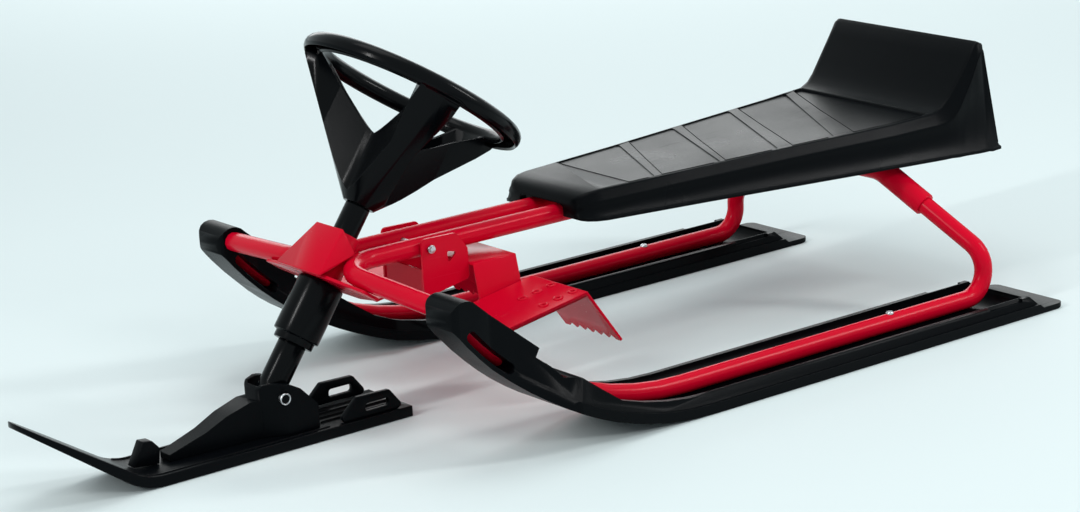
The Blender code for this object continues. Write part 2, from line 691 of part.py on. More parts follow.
def steering_wheel():
    """The dished wheel: a rim open below and three channelled arms down to the hub, one moulding.

    As in the photograph, the arms sit a few degrees round on the column.
    """
    outside = arc((RIM_RADIUS, 0.0), RIM_SECTION, 270 - RIM_SLOT_ANGLE, -90 + RIM_SLOT_ANGLE, 13)
    inside = arc((RIM_RADIUS, 0.0), RIM_SECTION - RIM_WALL, -90 + RIM_SLOT_ANGLE, 270 - RIM_SLOT_ANGLE, 9)
    wheel = turned("steering_wheel", outside + inside, steer_frame(WHEEL_S), PARTS, BLACK, steps=60)

    reach = RIM_RADIUS - RIM_SECTION + RIM_WALL / 2
    end = RIM_RADIUS + RIM_SECTION - RIM_WALL / 2
    cone = [(0.0, -HUB_FLOOR_DEPTH), (HUB_RIM_RADIUS, -HUB_RIM_DEPTH), (reach, -ARM_TOP), (end, -ARM_TOP)]
    cone += [(end, -RIM_WALL), (end - RIM_WALL, -ARM_BOTTOM), (HUB_RADIUS, -HUB_BOTTOM), (0.0, -HUB_BOTTOM)]
    arms = turned("wheel_arms", cone, steer_frame(WHEEL_S), PARTS, BLACK, steps=36)
    star = []
    for outline in wheel_star(0.0):
        star += outline
    cutter = plate("wheel_arms_plan", [star], CUTTER_REACH, steer_frame(WHEEL_S), CUTTERS)
    combine(arms, cutter, "INTERSECT")

    slope = (HUB_BOTTOM - ARM_BOTTOM) / (end - RIM_WALL - HUB_RADIUS)
    floor = ARM_WALL * math.hypot(1.0, slope) - HUB_BOTTOM
    start, stop = ARM_HOLLOW_START, reach - ARM_WALL
    hollow = [(start, HUB_FLOOR_DEPTH), (stop, HUB_FLOOR_DEPTH)]
    hollow += [(x, floor + (x - HUB_RADIUS) * slope) for x in (stop, start)]
    channels = turned("arm_channels", hollow, steer_frame(WHEEL_S), CUTTERS, steps=36)
    plan = plate("arm_channels_plan", wheel_star(ARM_WALL), CUTTER_REACH, steer_frame(WHEEL_S), CUTTERS)
    combine(channels, plan, "INTERSECT")
    combine(arms, mesh_copy(channels, "arm_channels_body", CUTTERS), "DIFFERENCE")
    combine(wheel, mesh_copy(arms, "wheel_arms_body", CUTTERS), "UNION")
    smooth(wheel)
    return wheel


def steering_column():
    top = WHEEL_S - HUB_BOTTOM - TOUCH_GAP
    bottom = HEAD_PLATE_S - HEAD_PLATE_THICKNESS - TURN_GAP + TOUCH_GAP
    profile = [(0.0, top), (COLUMN_RADIUS, top), (COLUMN_RADIUS, bottom), (0.0, bottom)]
    made = turned("steering_column", profile, steer_frame(0.0), PARTS, BLACK)
    smooth(made)
    return made


def spring_housing():
    """The stepped sleeve below the head that hides the spring."""
    top = HEAD_PLATE_S - HEAD_PLATE_THICKNESS - TURN_GAP
    collar = HOUSING_BOTTOM_S - HOUSING_COLLAR_LENGTH
    profile = [
        (0.0, top),
        (HOUSING_RADIUS - 0.002, top),
        (HOUSING_RADIUS, top - 0.002),
        (HOUSING_RADIUS, HOUSING_BOTTOM_S),
        (HOUSING_COLLAR_RADIUS, HOUSING_BOTTOM_S - 0.001),
        (HOUSING_COLLAR_RADIUS, collar),
        (0.0, collar),
    ]
    made = turned("spring_housing", profile, steer_frame(0.0), PARTS, BLACK)
    smooth(made)
    return made


def fork_stem():
    """The lower leg that slides in the housing, with an eye for the ski's pin."""
    pivot_s = steer_s(PIVOT_HEIGHT)
    top = HOUSING_BOTTOM_S - HOUSING_COLLAR_LENGTH - TOUCH_GAP
    profile = [(0.0, top), (STEM_RADIUS, top), (STEM_RADIUS, pivot_s + 0.010), (0.012, pivot_s), (0.0, pivot_s)]
    stem = turned("fork_stem", profile, steer_frame(0.0), PARTS, BLACK)
    pivot = STEER_POINT + STEER_AXIS * pivot_s
    eye = turned_across("fork_eye", EYE_RADIUS, EYE_WIDTH / 2, pivot)
    combine(stem, eye, "UNION")
    hole = turned_across("fork_pin_hole", PIVOT_PIN_RADIUS + TOUCH_GAP, 0.05, pivot)
    combine(stem, hole, "DIFFERENCE")
    smooth(stem)
    return stem


def turned_across(name, radius, half_width, centre, collection=None, material=None):
    """A round bar across the sled."""
    frame = Matrix.Translation(centre) @ Matrix.Rotation(math.radians(90), 4, "X")
    profile = [(0.0, half_width), (radius, half_width), (radius, -half_width), (0.0, -half_width)]
    return turned(name, profile, frame, collection or CUTTERS, material, steps=24)


def pivot_point():
    return STEER_POINT + STEER_AXIS * steer_s(PIVOT_HEIGHT)


def front_ski_board():
    degrees = math.degrees(FRONT_RISE_ANGLE)
    centre = (FRONT_LIFT_X, FRONT_BEND_RADIUS)
    sole = arc(centre, FRONT_BEND_RADIUS, 270, 270 - degrees, 6)
    deck = arc(centre, FRONT_BEND_RADIUS - FRONT_THICKNESS, 270 - degrees, 270, 6)
    start = sole[-1]
    tip = (FRONT_TIP_X, start[1] + (start[0] - FRONT_TIP_X) * math.tan(FRONT_RISE_ANGLE))
    tip_top = (FRONT_TIP_X, tip[1] + FRONT_TIP_THICKNESS)
    outline = [(FRONT_TAIL_X, 0.0)] + sole + [tip, tip_top] + deck + [(FRONT_TAIL_X, FRONT_THICKNESS)]
    ski = plate("front_ski_board", [outline], FRONT_WIDTH, SIDE_VIEW, PARTS, BLACK)
    half = FRONT_WIDTH / 2
    shoulder_x = FRONT_TIP_X + 1.5 * FRONT_TIP_RADIUS
    rear_x = FRONT_TAIL_X + TOUCH_GAP
    plan = [(rear_x, half), (shoulder_x, half)]
    plan += arc((FRONT_TIP_X + FRONT_TIP_RADIUS, 0.0), FRONT_TIP_RADIUS, 120, 240, 10)
    plan += [(shoulder_x, -half), (rear_x, -half)]
    combine(ski, plate("front_ski_plan", [plan], CUTTER_REACH, PLAN_VIEW, CUTTERS), "INTERSECT")
    pivot_x = pivot_point().x
    for number, y in enumerate(DECK_RIBS):
        low = (pivot_x + DECK_RIB_START, y - DECK_RIB_SIZE / 2, FRONT_THICKNESS - DECK_RIB_SIZE)
        high = (pivot_x + DECK_RIB_END, y + DECK_RIB_SIZE / 2, FRONT_THICKNESS + DECK_RIB_SIZE)
        combine(ski, box(f"deck_rib_{number}", low, high, CUTTERS), "UNION")
    smooth(ski)
    return ski


def from_pivot(rows):
    """Side-view points given as x from the pivot and height."""
    x = pivot_point().x
    return [(x + along, height) for along, height in rows]


def saddle_plan(rear, front_wall, cheek):
    """The cup's outline from above, wide behind and narrow in front, moved in by its walls."""
    wide = SADDLE_WIDTH / 2 - cheek
    narrow = SADDLE_FRONT_WIDTH / 2 - front_wall / 2
    outline = [(rear, -wide), (SADDLE_SHOULDER, -wide), (SADDLE_FRONT + front_wall, -narrow)]
    outline += [(x, -y) for x, y in reversed(outline)]
    return rounded(outline, SADDLE_CORNER - front_wall)


def front_ski_saddle():
    """The ridge along the deck and the cup that holds the stem's foot."""
    floor = FRONT_THICKNESS + TOUCH_GAP
    cup = [(SADDLE_FRONT, floor), (SADDLE_FRONT, 0.0600), (-0.0160, 0.0645), (-0.0040, 0.0650), (0.0084, 0.0620)]
    cup += [(0.0194, 0.056), (SADDLE_REAR, 0.036), (SADDLE_REAR, floor)]
    saddle = plate("front_ski_saddle", [from_pivot(cup)], SADDLE_WIDTH, SIDE_VIEW, PARTS, BLACK)
    shape = Matrix.Translation((pivot_point().x, 0.0, 0.0))
    outline = saddle_plan(SADDLE_REAR + SADDLE_CORNER, 0.0, -TOUCH_GAP)
    combine(saddle, plate("saddle_plan", [outline], CUTTER_REACH, shape, CUTTERS), "INTERSECT")

    pocket_front = SADDLE_FRONT + SADDLE_FRONT_WALL
    ridge_end = pocket_front - TOUCH_GAP
    ridge = [(RIDGE_FRONT, floor), (RIDGE_FRONT, 0.018), (-0.0806, 0.031), (-0.0566, 0.042), (-0.0296, 0.050)]
    ridge += [(ridge_end, 0.050), (ridge_end, floor)]
    ridge_body = plate("saddle_ridge", [from_pivot(ridge)], 2 * RIDGE_REAR_HALF, SIDE_VIEW, PARTS)
    sides = [(ridge_end, -RIDGE_REAR_HALF), (SADDLE_FRONT, -RIDGE_REAR_HALF), (RIDGE_FRONT, -RIDGE_FRONT_HALF)]
    sides += [(x, -y) for x, y in reversed(sides)]
    combine(ridge_body, plate("ridge_plan", [sides], CUTTER_REACH, shape, CUTTERS), "INTERSECT")
    combine(saddle, mesh_copy(ridge_body, "saddle_ridge_body", CUTTERS), "UNION")

    inside = saddle_plan(SADDLE_REAR + SADDLE_CORNER, SADDLE_FRONT_WALL, SADDLE_CHEEK)
    above = Matrix.Translation((pivot_point().x, 0.0, POCKET_FLOOR + SADDLE_WIDTH / 2))
    combine(saddle, plate("saddle_pocket", [inside], SADDLE_WIDTH, above, CUTTERS), "DIFFERENCE")
    hole = turned_across("saddle_pin_hole", PIVOT_PIN_RADIUS + TOUCH_GAP, SADDLE_WIDTH, pivot_point())
    combine(saddle, hole, "DIFFERENCE")
    smooth(saddle)
    return saddle


def pivot_pin():
    reach = SADDLE_WIDTH / 2 + PIVOT_PIN_END
    made = turned_across("pivot_pin", PIVOT_PIN_RADIUS, reach, pivot_point(), PARTS, STEEL)
    smooth(made)
    return made


def deck_loop(name, side):
    """An upright slotted loop at the rear edge of the front ski."""
    floor = FRONT_THICKNESS + TOUCH_GAP
    outline = rounded(from_pivot([(0.0544, floor), (0.1354, floor), (0.1184, 0.033), (0.0794, 0.034)]), 0.004)
    slot = rounded(from_pivot([(0.0884, 0.017), (0.0884, 0.025), (0.1164, 0.025), (0.1164, 0.017)]), 0.003)
    y = side * (FRONT_WIDTH / 2 - LOOP_INSET - LOOP_THICKNESS / 2)
    return plate(name, [outline, slot], LOOP_THICKNESS, side_frame(y), PARTS, BLACK)


def rope_anchor():
    """The cleat at the front of the deck, where the sole starts to climb."""
    floor = FRONT_THICKNESS + TOUCH_GAP
    rows = [(-0.016, floor + 0.0026), (0.012, floor), (0.014, 0.027), (0.006, 0.036), (-0.004, 0.037)]
    outline = [(FRONT_LIFT_X + along, height) for along, height in rows]
    return plate("rope_anchor", [outline], ANCHOR_WIDTH, SIDE_VIEW, PARTS, BLACK)


def rail_tie():
    """The welded plate between the rails behind the head."""
    half = RAIL_HALF_GAP - TUBE_RADIUS - TOUCH_GAP
    low = (RAIL_TIE_FRONT_X, -half, RAIL_HEIGHT - RAIL_TIE_THICKNESS)
    high = (RAIL_TIE_FRONT_X + RAIL_TIE_LENGTH, half, RAIL_HEIGHT + RAIL_TIE_THICKNESS)
    return box("rail_tie", low, high, PARTS, RED)


def brake_bolt():
    ear = RAIL_HALF_GAP + TUBE_RADIUS + BRAKE_EAR_GAP + BRAKE_SHEET
    made = turned_across("brake_bolt", BRAKE_BOLT_RADIUS, ear + BRAKE_BOLT_END, BRAKE_PIVOT, PARTS, STEEL)
    smooth(made)
    return made


def from_bolt(rows):
    """Side-view points given from the brake's bolt."""
    return [(BRAKE_PIVOT.x + along, BRAKE_PIVOT.z + up) for along, up in rows]


def brake_bracket():
    """The folded yoke that hangs from the bolt: two ears outside the rails and a web below them."""
    inner = RAIL_HALF_GAP + TUBE_RADIUS + BRAKE_EAR_GAP
    rear = BRAKE_EAR_LENGTH
    ear = rounded(from_bolt([(-0.010, 0.011), (-0.010, -0.050), (rear, -0.040), (rear, -0.008), (0.033, 0.010)]), 0.005)
    window = rounded(from_bolt([(0.0205, -0.0065), (0.0325, -0.0095), (0.0215, -0.0195)]), 0.0015, 2)
    outer = 2 * (inner + BRAKE_SHEET)
    yoke = plate("brake_bracket", [ear, window], outer, SIDE_VIEW, PARTS, RED)
    x, z = BRAKE_PIVOT.x, BRAKE_PIVOT.z
    room = box("yoke_room", (x - rear, -inner, z - 2 * rear), (x + 2 * rear, inner, z + rear), CUTTERS)
    low = (x + BRAKE_WEB_X, -inner - TOUCH_GAP, z + BRAKE_WEB_LOW)
    high = (x + BRAKE_WEB_X + BRAKE_SHEET, inner + TOUCH_GAP, z + BRAKE_WEB_HIGH)
    combine(yoke, room, "DIFFERENCE")
    combine(yoke, box("yoke_web", low, high, CUTTERS), "UNION")
    hole = bolt_cutter("yoke_bolt_hole", BRAKE_BOLT_RADIUS + TOUCH_GAP)
    combine(yoke, hole, "DIFFERENCE")
    return yoke


def pedal_height(x):
    return BRAKE_PIVOT.z - PEDAL_DROP + (x - PEDAL_FRONT_X) * math.tan(PEDAL_RISE)


def claw_notches(name, middle, width, tip):
    """The gaps between the claw's teeth, in the claw's own plane."""
    across = Vector((0.0, 1.0, 0.0))
    down = Vector((math.cos(CLAW_ANGLE), 0.0, -math.sin(CLAW_ANGLE)))
    turn = Matrix((across, down, across.cross(down))).transposed().to_4x4()
    pitch = width / CLAW_TEETH
    half = (pitch - CLAW_TOOTH_TIP) / 2
    past = CLAW_TOOTH_TIP / 2
    wide = half * (1 + past / CLAW_TOOTH_LENGTH)
    outlines = []
    for number in range(1, CLAW_TEETH):
        y = number * pitch - width / 2
        outlines.append([(y - wide, past), (y, -CLAW_TOOTH_LENGTH), (y + wide, past)])
    frame = Matrix.Translation((tip[0], middle, tip[1])) @ turn
    return plate(name, outlines, 8 * BRAKE_SHEET, frame, CUTTERS)


def brake_pedal(name, side):
    """A foot plate with a lip on its outer edge and a toothed claw folded down from its rear edge."""
    middle = side * (PEDAL_INNER_Y + PEDAL_OUTER_Y) / 2
    width = PEDAL_OUTER_Y - PEDAL_INNER_Y
    front, rear = (PEDAL_FRONT_X, pedal_height(PEDAL_FRONT_X)), (PEDAL_REAR_X, pedal_height(PEDAL_REAR_X))
    tip = (rear[0] + CLAW_LENGTH * math.cos(CLAW_ANGLE), rear[1] - CLAW_LENGTH * math.sin(CLAW_ANGLE))
    sheet = BRAKE_SHEET
    back = (-sheet * math.sin(CLAW_ANGLE), -sheet * math.cos(CLAW_ANGLE))
    outline = [front, rear, tip, (tip[0] + back[0], tip[1] + back[1])]
    outline += [(rear[0] + back[0], rear[1] - sheet), (front[0], front[1] - sheet)]
    pedal = plate(name, [outline], width, side_frame(middle), PARTS, RED)

    lip_top = [(x, z - sheet / 2) for x, z in (front, rear)]
    lip = lip_top + [(x, z - PEDAL_LIP) for x, z in (rear, front)]
    lip_y = side * (PEDAL_OUTER_Y - PEDAL_LIP_INSET - sheet / 2)
    combine(pedal, plate(name + "_lip", [lip], sheet, side_frame(lip_y), CUTTERS), "UNION")

    holes = []
    for back_from_fold in PEDAL_HOLE_COLUMNS:
        for out in PEDAL_HOLE_ROWS:
            place = (PEDAL_REAR_X - back_from_fold, side * (PEDAL_INNER_Y + out))
            holes.append(arc(place, PEDAL_HOLE_RADIUS, 360, 36, 9))
    level = Matrix.Translation((0.0, 0.0, pedal_height(PEDAL_REAR_X)))
    combine(pedal, plate(name + "_holes", holes, PEDAL_DROP, level, CUTTERS), "DIFFERENCE")
    combine(pedal, claw_notches(name + "_notches", middle, width, tip), "DIFFERENCE")
    smooth(pedal)
    return pedal


def brake_bridge():
    """The arched strap that joins the yoke to both foot plates, under the rails."""
    reach = PEDAL_INNER_Y - TOUCH_GAP
    start = BRAKE_PIVOT.x + BRAKE_EAR_LENGTH + TOUCH_GAP
    foot = pedal_height(start)
    crown = BRAKE_PIVOT.z - BRIDGE_DROP
    arch = [(reach, foot), (reach - BRIDGE_SLANT, crown)]
    under = reach - BRIDGE_SLANT - BRAKE_SHEET / 2
    inside = [(under, crown - BRAKE_SHEET), (reach - BRAKE_SHEET, foot - BRAKE_SHEET), (reach, foot - BRAKE_SHEET)]
    half = arch[::-1] + inside[::-1]
    outline = half + [(-y, z) for y, z in reversed(half)]
    return plate("brake_bridge", [outline], BRIDGE_LENGTH, front_frame(start + BRIDGE_LENGTH / 2), PARTS, RED)


def seat_line(x):
    """Height of the seat's straight top line."""
    return RAIL_HEIGHT + SEAT_RISE + SEAT_SLOPE * x


def seat_half(x):
    """Half width of the seat's top."""
    for before, after in zip(SEAT_SECTIONS, SEAT_SECTIONS[1:]):
        if x <= after[0]:
            share = (x - before[0]) / (after[0] - before[0])
            return before[1] + (after[1] - before[1]) * share
    return SEAT_SECTIONS[-1][1]


def seat_form(name, sections, bead, collection, material=None):
    """A closed body lofted through sections with a beaded side, as (x, half, top, skirt half, skirt, bead depth)."""
    bm = bmesh.new()
    rings = []
    for x, top_half, top, skirt_half, skirt, depth in sections:
        flare = (skirt_half - top_half) / (top - skirt)
        rim_top = skirt + SEAT_RIM_HEIGHT
        middle = top - depth
        half = [(skirt_half + bead, skirt), (skirt_half + bead, rim_top)]
        half += [(skirt_half - flare * SEAT_RIM_HEIGHT, rim_top + bead)]
        half += [(top_half + flare * (depth + SEAT_BEAD_HALF), middle - SEAT_BEAD_HALF)]
        half += [(top_half + flare * depth + bead, middle)]
        half += [(top_half + flare * (depth - SEAT_BEAD_HALF), middle + SEAT_BEAD_HALF)]
        half += [(top_half, top - 0.6 * SEAT_EDGE_RADIUS), (top_half - 0.4 * SEAT_EDGE_RADIUS, top - 0.15 * SEAT_EDGE_RADIUS)]
        half += [(top_half - 1.4 * SEAT_EDGE_RADIUS, top), (0.45 * top_half, top)]
        ring = [(-y, z) for y, z in half] + [(y, z) for y, z in reversed(half)]
        rings.append([bm.verts.new((x, y, z)) for y, z in ring])
    for first, second in zip(rings, rings[1:]):
        for index in range(len(first)):
            after = (index + 1) % len(first)
            bm.faces.new((first[index], first[after], second[after], second[index]))
    bm.faces.new(rings[0])
    bm.faces.new(rings[-1])
    bmesh.ops.recalc_face_normals(bm, faces=bm.faces)
    mesh = bpy.data.meshes.new(name)
    bm.to_mesh(mesh)
    bm.free()
    return add_object(name, mesh, collection, material)


def seat_sections():
    """The table's sections with real heights."""
    made = []
    for x, top_half, above, skirt_half, drop, depth in SEAT_SECTIONS:
        made.append((x, top_half, seat_line(x) + above, skirt_half, RAIL_HEIGHT - drop, depth))
    return made


def seat_hollow_sections(sections):
    """The seat's sections moved in by the wall's thickness, and run out below its skirt."""
    inner = []
    front = sections[0][0] + SEAT_WALL
    for before, here, after in zip(sections, sections[1:], sections[2:]):
        x, top_half, top, skirt_half, skirt, depth = here
        if x < front:
            continue
        slope = (after[2] - before[2]) / (after[0] - before[0])
        length = math.hypot(1.0, slope)
        place = x + SEAT_WALL * slope / length
        inner.append((place, top_half - SEAT_WALL, top - SEAT_WALL, skirt_half - SEAT_WALL, skirt - SEAT_HOLLOW_DEPTH, depth))
    x, top_half, top, skirt_half, skirt, depth = sections[-1]
    inner.append((x - SEAT_WALL, top_half - SEAT_WALL, top, skirt_half - SEAT_WALL, skirt - SEAT_HOLLOW_DEPTH, depth))
    return inner


def tread_cutter():
    """The shallow treads in the seat's top, as one body each above their floors."""
    outlines = []
    for front_right, front_left, rear_left, rear_right in TREADS:
        corners = ((front_right, 1), (front_left, -1), (rear_left, -1), (rear_right, 1))
        outlines.append(rounded([(x, side * (seat_half(x) - TREAD_MARGIN)) for x, side in corners], TREAD_MARGIN / 2, 3))
    lean = Matrix.Rotation(-math.atan(SEAT_SLOPE), 4, "Y")
    place = Matrix.Translation((0.0, 0.0, seat_line(0.0) - TREAD_DEPTH + SEAT_RISE / 2))
    return plate("seat_treads", outlines, SEAT_RISE, place @ lean, CUTTERS)


def seat_shell():
    """A moulded shell, open below, that sweeps up to a low back."""
    sections = seat_sections()
    shell = seat_form("seat_shell", sections, SEAT_BEAD, PARTS, BLACK)
    combine(shell, seat_form("seat_hollow", seat_hollow_sections(sections), 0.0, CUTTERS), "DIFFERENCE")
    half = RAIL_HALF_GAP + TUBE_RADIUS + SEAT_ARCH_GAP
    crown = RAIL_HEIGHT + TUBE_RADIUS + SEAT_ARCH_CROWN
    foot = RAIL_HEIGHT - SEAT_ARCH_DEPTH
    arch = rounded([(-half, foot), (half, foot), (half, crown), (-half, crown)], SEAT_ARCH_GAP)
    front = SEAT_SECTIONS[0][0]
    combine(shell, plate("rail_arch", [arch], SEAT_ARCH_DEPTH, front_frame(front), CUTTERS), "DIFFERENCE")
    for number, x in enumerate(SEAT_RIBS):
        top = seat_line(x) - (SEAT_WALL + TREAD_DEPTH) / 2
        low = (x - SEAT_WALL / 2, -SEAT_RIB_HALF, RAIL_HEIGHT + TUBE_RADIUS + TOUCH_GAP)
        high = (x + SEAT_WALL / 2, SEAT_RIB_HALF, top)
        combine(shell, box(f"seat_rib_{number}", low, high, CUTTERS), "UNION")
    combine(shell, tread_cutter(), "DIFFERENCE")
    smooth(shell)
    return shell


def build():
    for label, side in (("left", -1), ("right", 1)):
        side_tube("side_tube_" + label, side)
        rear_ski("rear_ski_" + label, side)
        brake_pedal("brake_pedal_" + label, side)
        deck_loop("deck_loop_" + label, side)
    seat_crossmember()
    head_tube()
    head_plate()
    head_hood()
    seat_shell()
    steering_wheel()
    steering_column()
    spring_housing()
    fork_stem()
    front_ski_board()
    front_ski_saddle()
    pivot_pin()
    rope_anchor()
    rail_tie()
    brake_bolt()
    brake_bracket()
    brake_bridge()


build()
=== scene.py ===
"""Looks of the steerable snow sled: finishes, fasteners, weld beads, studio light and camera.

Lengths are in metres. The sled faces -X, its left side is -Y, and +Z is up.
"""

import json
import math

import bmesh
import bpy
from mathutils import Matrix, Vector
from mathutils.bvhtree import BVHTree

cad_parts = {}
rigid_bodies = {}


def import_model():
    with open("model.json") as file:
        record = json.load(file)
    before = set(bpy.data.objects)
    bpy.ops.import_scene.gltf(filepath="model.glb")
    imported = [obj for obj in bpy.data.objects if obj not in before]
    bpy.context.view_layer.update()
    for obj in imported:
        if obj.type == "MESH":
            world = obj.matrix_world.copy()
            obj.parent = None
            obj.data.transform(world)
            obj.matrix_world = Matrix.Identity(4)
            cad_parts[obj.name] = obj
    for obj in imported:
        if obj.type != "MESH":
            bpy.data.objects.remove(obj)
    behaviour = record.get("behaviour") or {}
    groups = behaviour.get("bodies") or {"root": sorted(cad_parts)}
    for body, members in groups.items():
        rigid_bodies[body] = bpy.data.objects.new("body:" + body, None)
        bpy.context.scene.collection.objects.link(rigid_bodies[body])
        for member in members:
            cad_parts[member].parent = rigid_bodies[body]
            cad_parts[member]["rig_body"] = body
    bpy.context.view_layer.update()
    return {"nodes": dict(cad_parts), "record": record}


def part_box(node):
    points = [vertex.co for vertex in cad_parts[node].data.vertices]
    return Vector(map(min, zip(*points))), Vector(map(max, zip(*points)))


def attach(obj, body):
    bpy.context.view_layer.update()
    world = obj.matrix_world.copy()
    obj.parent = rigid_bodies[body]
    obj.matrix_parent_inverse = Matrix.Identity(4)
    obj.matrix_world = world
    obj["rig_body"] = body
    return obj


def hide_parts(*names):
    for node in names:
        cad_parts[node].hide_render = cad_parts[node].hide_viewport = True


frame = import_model()

# Camera: the picture's 1080 pixels span SENSOR millimetres behind the lens
CAMERA_PLACE = (-1.76347, -2.42624, 0.93995)
CAMERA_YAW = -0.63725
CAMERA_PITCH = 0.26593
CAMERA_ROLL = -0.05835
LENS = 100.0
SENSOR = 36.0
VIEW_DEPTH = 100.0

# Lamps, all aimed at LAMP_AIM; one that isn't mirrored adds no highlights
LAMP_AIM = Vector((0.0, 0.0, 0.15))
LAMPS = (
    # name, place, width and height, watts, mirrored
    ("far_softbox", (1.9, 2.5, 1.15), (3.2, 1.3), 27.0, True),
    ("overhead", (0.0, 0.4, 2.6), (1.6, 1.2), 13.0, True),
    ("left_strip", (-2.3, -0.1, 1.6), (0.14, 0.9), 23.0, True),
    ("near_window", (2.0, -1.6, 1.8), (0.3, 1.0), 26.0, True),
    ("near_side", (-0.3, -2.9, 2.0), (1.4, 0.5), 22.0, False),
)

# World light, the backdrop that is seen instead of it, and the floor
WORLD_COLOR = (0.84, 0.93, 1.0, 1.0)
WORLD_STRENGTH = 0.48
BACKDROP_COLOR = (0.74, 0.83, 0.84, 1.0)
BACKDROP_STRENGTH = 1.0
FLOOR_COLOR = (0.77, 0.86, 0.85, 1.0)
FLOOR_ROUGHNESS = 0.85
FLOOR_SPECULAR = 0.1
FLOOR_SIZE = 30.0
FLOOR_DROP = 0.0005

# Patterns that the finishes share; a reach is the part of a noise or mask that is spread over its ends
GRAIN_DETAIL = 2.0
PATCH_DETAIL = 3.0
EDGE_SAMPLES = 4
EDGE_REACH = (0.80, 0.985)
# The broken mask of the edges' own colour: wear, and on the black plastics a painted edge highlight
WEAR_AND_SHEEN_SCALE = 90.0
WEAR_AND_SHEEN_DETAIL = 4.0
WEAR_AND_SHEEN_REACH = (0.45, 0.65)
SCRATCH_STRETCH = (14.0, 260.0, 260.0)
SCRATCH_TURN = (0.2, 0.1, 0.35)
SCRATCH_REACH = (0.62, 0.72)
HANDLED_SCALE = 16.0
HANDLED_REACH = (0.48, 0.66)
DRIFT_SCALE = 0.6
DEEP_SHARE = 0.86
SCUFF_ROUGHNESS = 0.25
RELIEF_DEPTH = 0.0003

# Meshes: distances that join corners, and angles in degrees for flat faces, creases and rounded edges
JOIN_DISTANCE = 1e-5
SPIN_JOIN_DISTANCE = 1e-6
FLAT_ANGLE = 0.3
SKIN_CREASE = 35
FASTENER_CREASE = 30
BEAD_CREASE = 60
ROUND_ANGLE = 40
ROUND_SEGMENTS = 2

# Height above the whole sled, from which top_point looks down
LOOK_DOWN_FROM = 0.5

# Steering axis, rails and cross-member, as the solids have them
STEER_POINT = Vector((-0.203, 0.0, 0.195))
STEER_TILT = math.radians(36)
STEER_AXIS = Vector((math.sin(STEER_TILT), 0.0, math.cos(STEER_TILT)))
STEER_DOWN = Vector((math.cos(STEER_TILT), 0.0, -math.sin(STEER_TILT)))
HEAD_PLATE_ALONG = -0.05477
HEAD_TUBE_RADIUS = 0.017
RAIL_Y = 0.021
CROSS_PLACE = (0.452, 0.1427)
CROSS_RADIUS = 0.013

# Screws that hold the tubes in the skis
SKI_SCREW_X = 0.335
SCREW_RADIUS = 0.0043
SCREW_HEIGHT = 0.0030
SCREW_SINK = 0.0004
SCREW_SIDES = 20
SCREW_DOME_STEPS = 6
RECESS_WIDTH = 0.0011
RECESS_LENGTH = 0.0048
RECESS_LIFT = 1.05
FASTENER_TURN = 0.4
FASTENER_SEED = 7

# Bolt heads at the brake, and the pivot pin's ends
BRAKE_HEAD_RADIUS = 0.0034
BRAKE_HEAD_HEIGHT = 0.0024
HEAD_CHAMFER = 0.2
WASHER_RADIUS = 0.0044
WASHER_HEIGHT = 0.0008
WASHER_TAPER = 0.94
WASHER_SIDES = 28
PIVOT_RING_RADIUS = 0.0062
PIVOT_RING_WIDTH = 0.0018
PIVOT_RING_HEIGHT = 0.0014
PIVOT_RING_SIDES = 36
RING_STEPS = 6
# A dark dome inside the ring is painted shade, standing for the pin's hollow end
HOLLOW_SHADE_INSET = PIVOT_RING_WIDTH * 0.8
HOLLOW_SHADE_HEIGHT = PIVOT_RING_HEIGHT * 0.45
HOLLOW_SHADE_STEPS = 5
HOLLOW_SHADE_SIDES = 24

# Holes in the foot plates: columns forward of PEDAL_REAR_X, rows outward of PEDAL_INNER_Y
PEDAL_REAR_X = -0.017
PEDAL_INNER_Y = 0.052
PEDAL_HOLE_COLUMNS = (0.0075, 0.0260, 0.0445)
PEDAL_HOLE_ROWS = (0.0415, 0.0765)
PEDAL_HOLE_RADIUS = 0.0023
COLLAR_RADIUS = 0.0054
COLLAR_HEIGHT = 0.0014
COLLAR_SIDES = 20

# Weld beads, and the least and most of their ripples' scale
BEAD_RADIUS = 0.0017
BEAD_PITCH = 0.0014
RIPPLE_SEGMENTS = 10
RIPPLE_RINGS = 6
RIPPLE_LEAST = (0.88, 0.88, 0.62)
RIPPLE_MOST = (1.08, 1.08, 0.80)
RIPPLE_SEED = 3
HEAD_WELD_LIFT = 0.0005
HEAD_WELD_STEPS = 40
CROSS_WELD_REACH = 0.0055
CROSS_WELD_STEPS = 20
TIE_WELD_INSET = 0.003
TIE_BEAD_RADIUS = BEAD_RADIUS * 0.8

# Corners of each seat tread in x and y: right front, left front, left rear, right rear
TREAD_CORNERS = (
    ((0.109, 0.0628), (0.106, -0.0625), (0.138, -0.0653), (0.200, 0.0712)),
    ((0.216, 0.0730), (0.148, -0.0662), (0.221, -0.0736), (0.285, 0.0810)),
    ((0.300, 0.0827), (0.228, -0.0744), (0.295, -0.0821), (0.376, 0.0915)),
    ((0.391, 0.0933), (0.314, -0.0843), (0.368, -0.0906), (0.470, 0.1015)),
    ((0.484, 0.1027), (0.394, -0.0936), (0.494, -0.1035), (0.496, 0.1037)),
)
# Thin dark lines of painted shade at the treads' edges: how far out, how thick, and the step along them
TREAD_LINE_OUT = 0.0008
TREAD_LINE_RADIUS = 0.0004
TREAD_LINE_STEP = 0.008
LINE_SIDES = 6

# Raised bead along both edges of the front ski's board
BOARD_BEAD_X = (-0.470, -0.262)
BOARD_BEAD_INSET = 0.0055
BOARD_BEAD_RADIUS = 0.0013
BOARD_BEAD_STEP = 0.008

# Slit in each ski's tail, beside the trough
SLIT_X = (0.437, 0.482)
SLIT_OUT = 0.0465
SLIT_WIDTH = 0.0055
SLIT_DEPTH = 0.004
SLIT_END_STEPS = 8

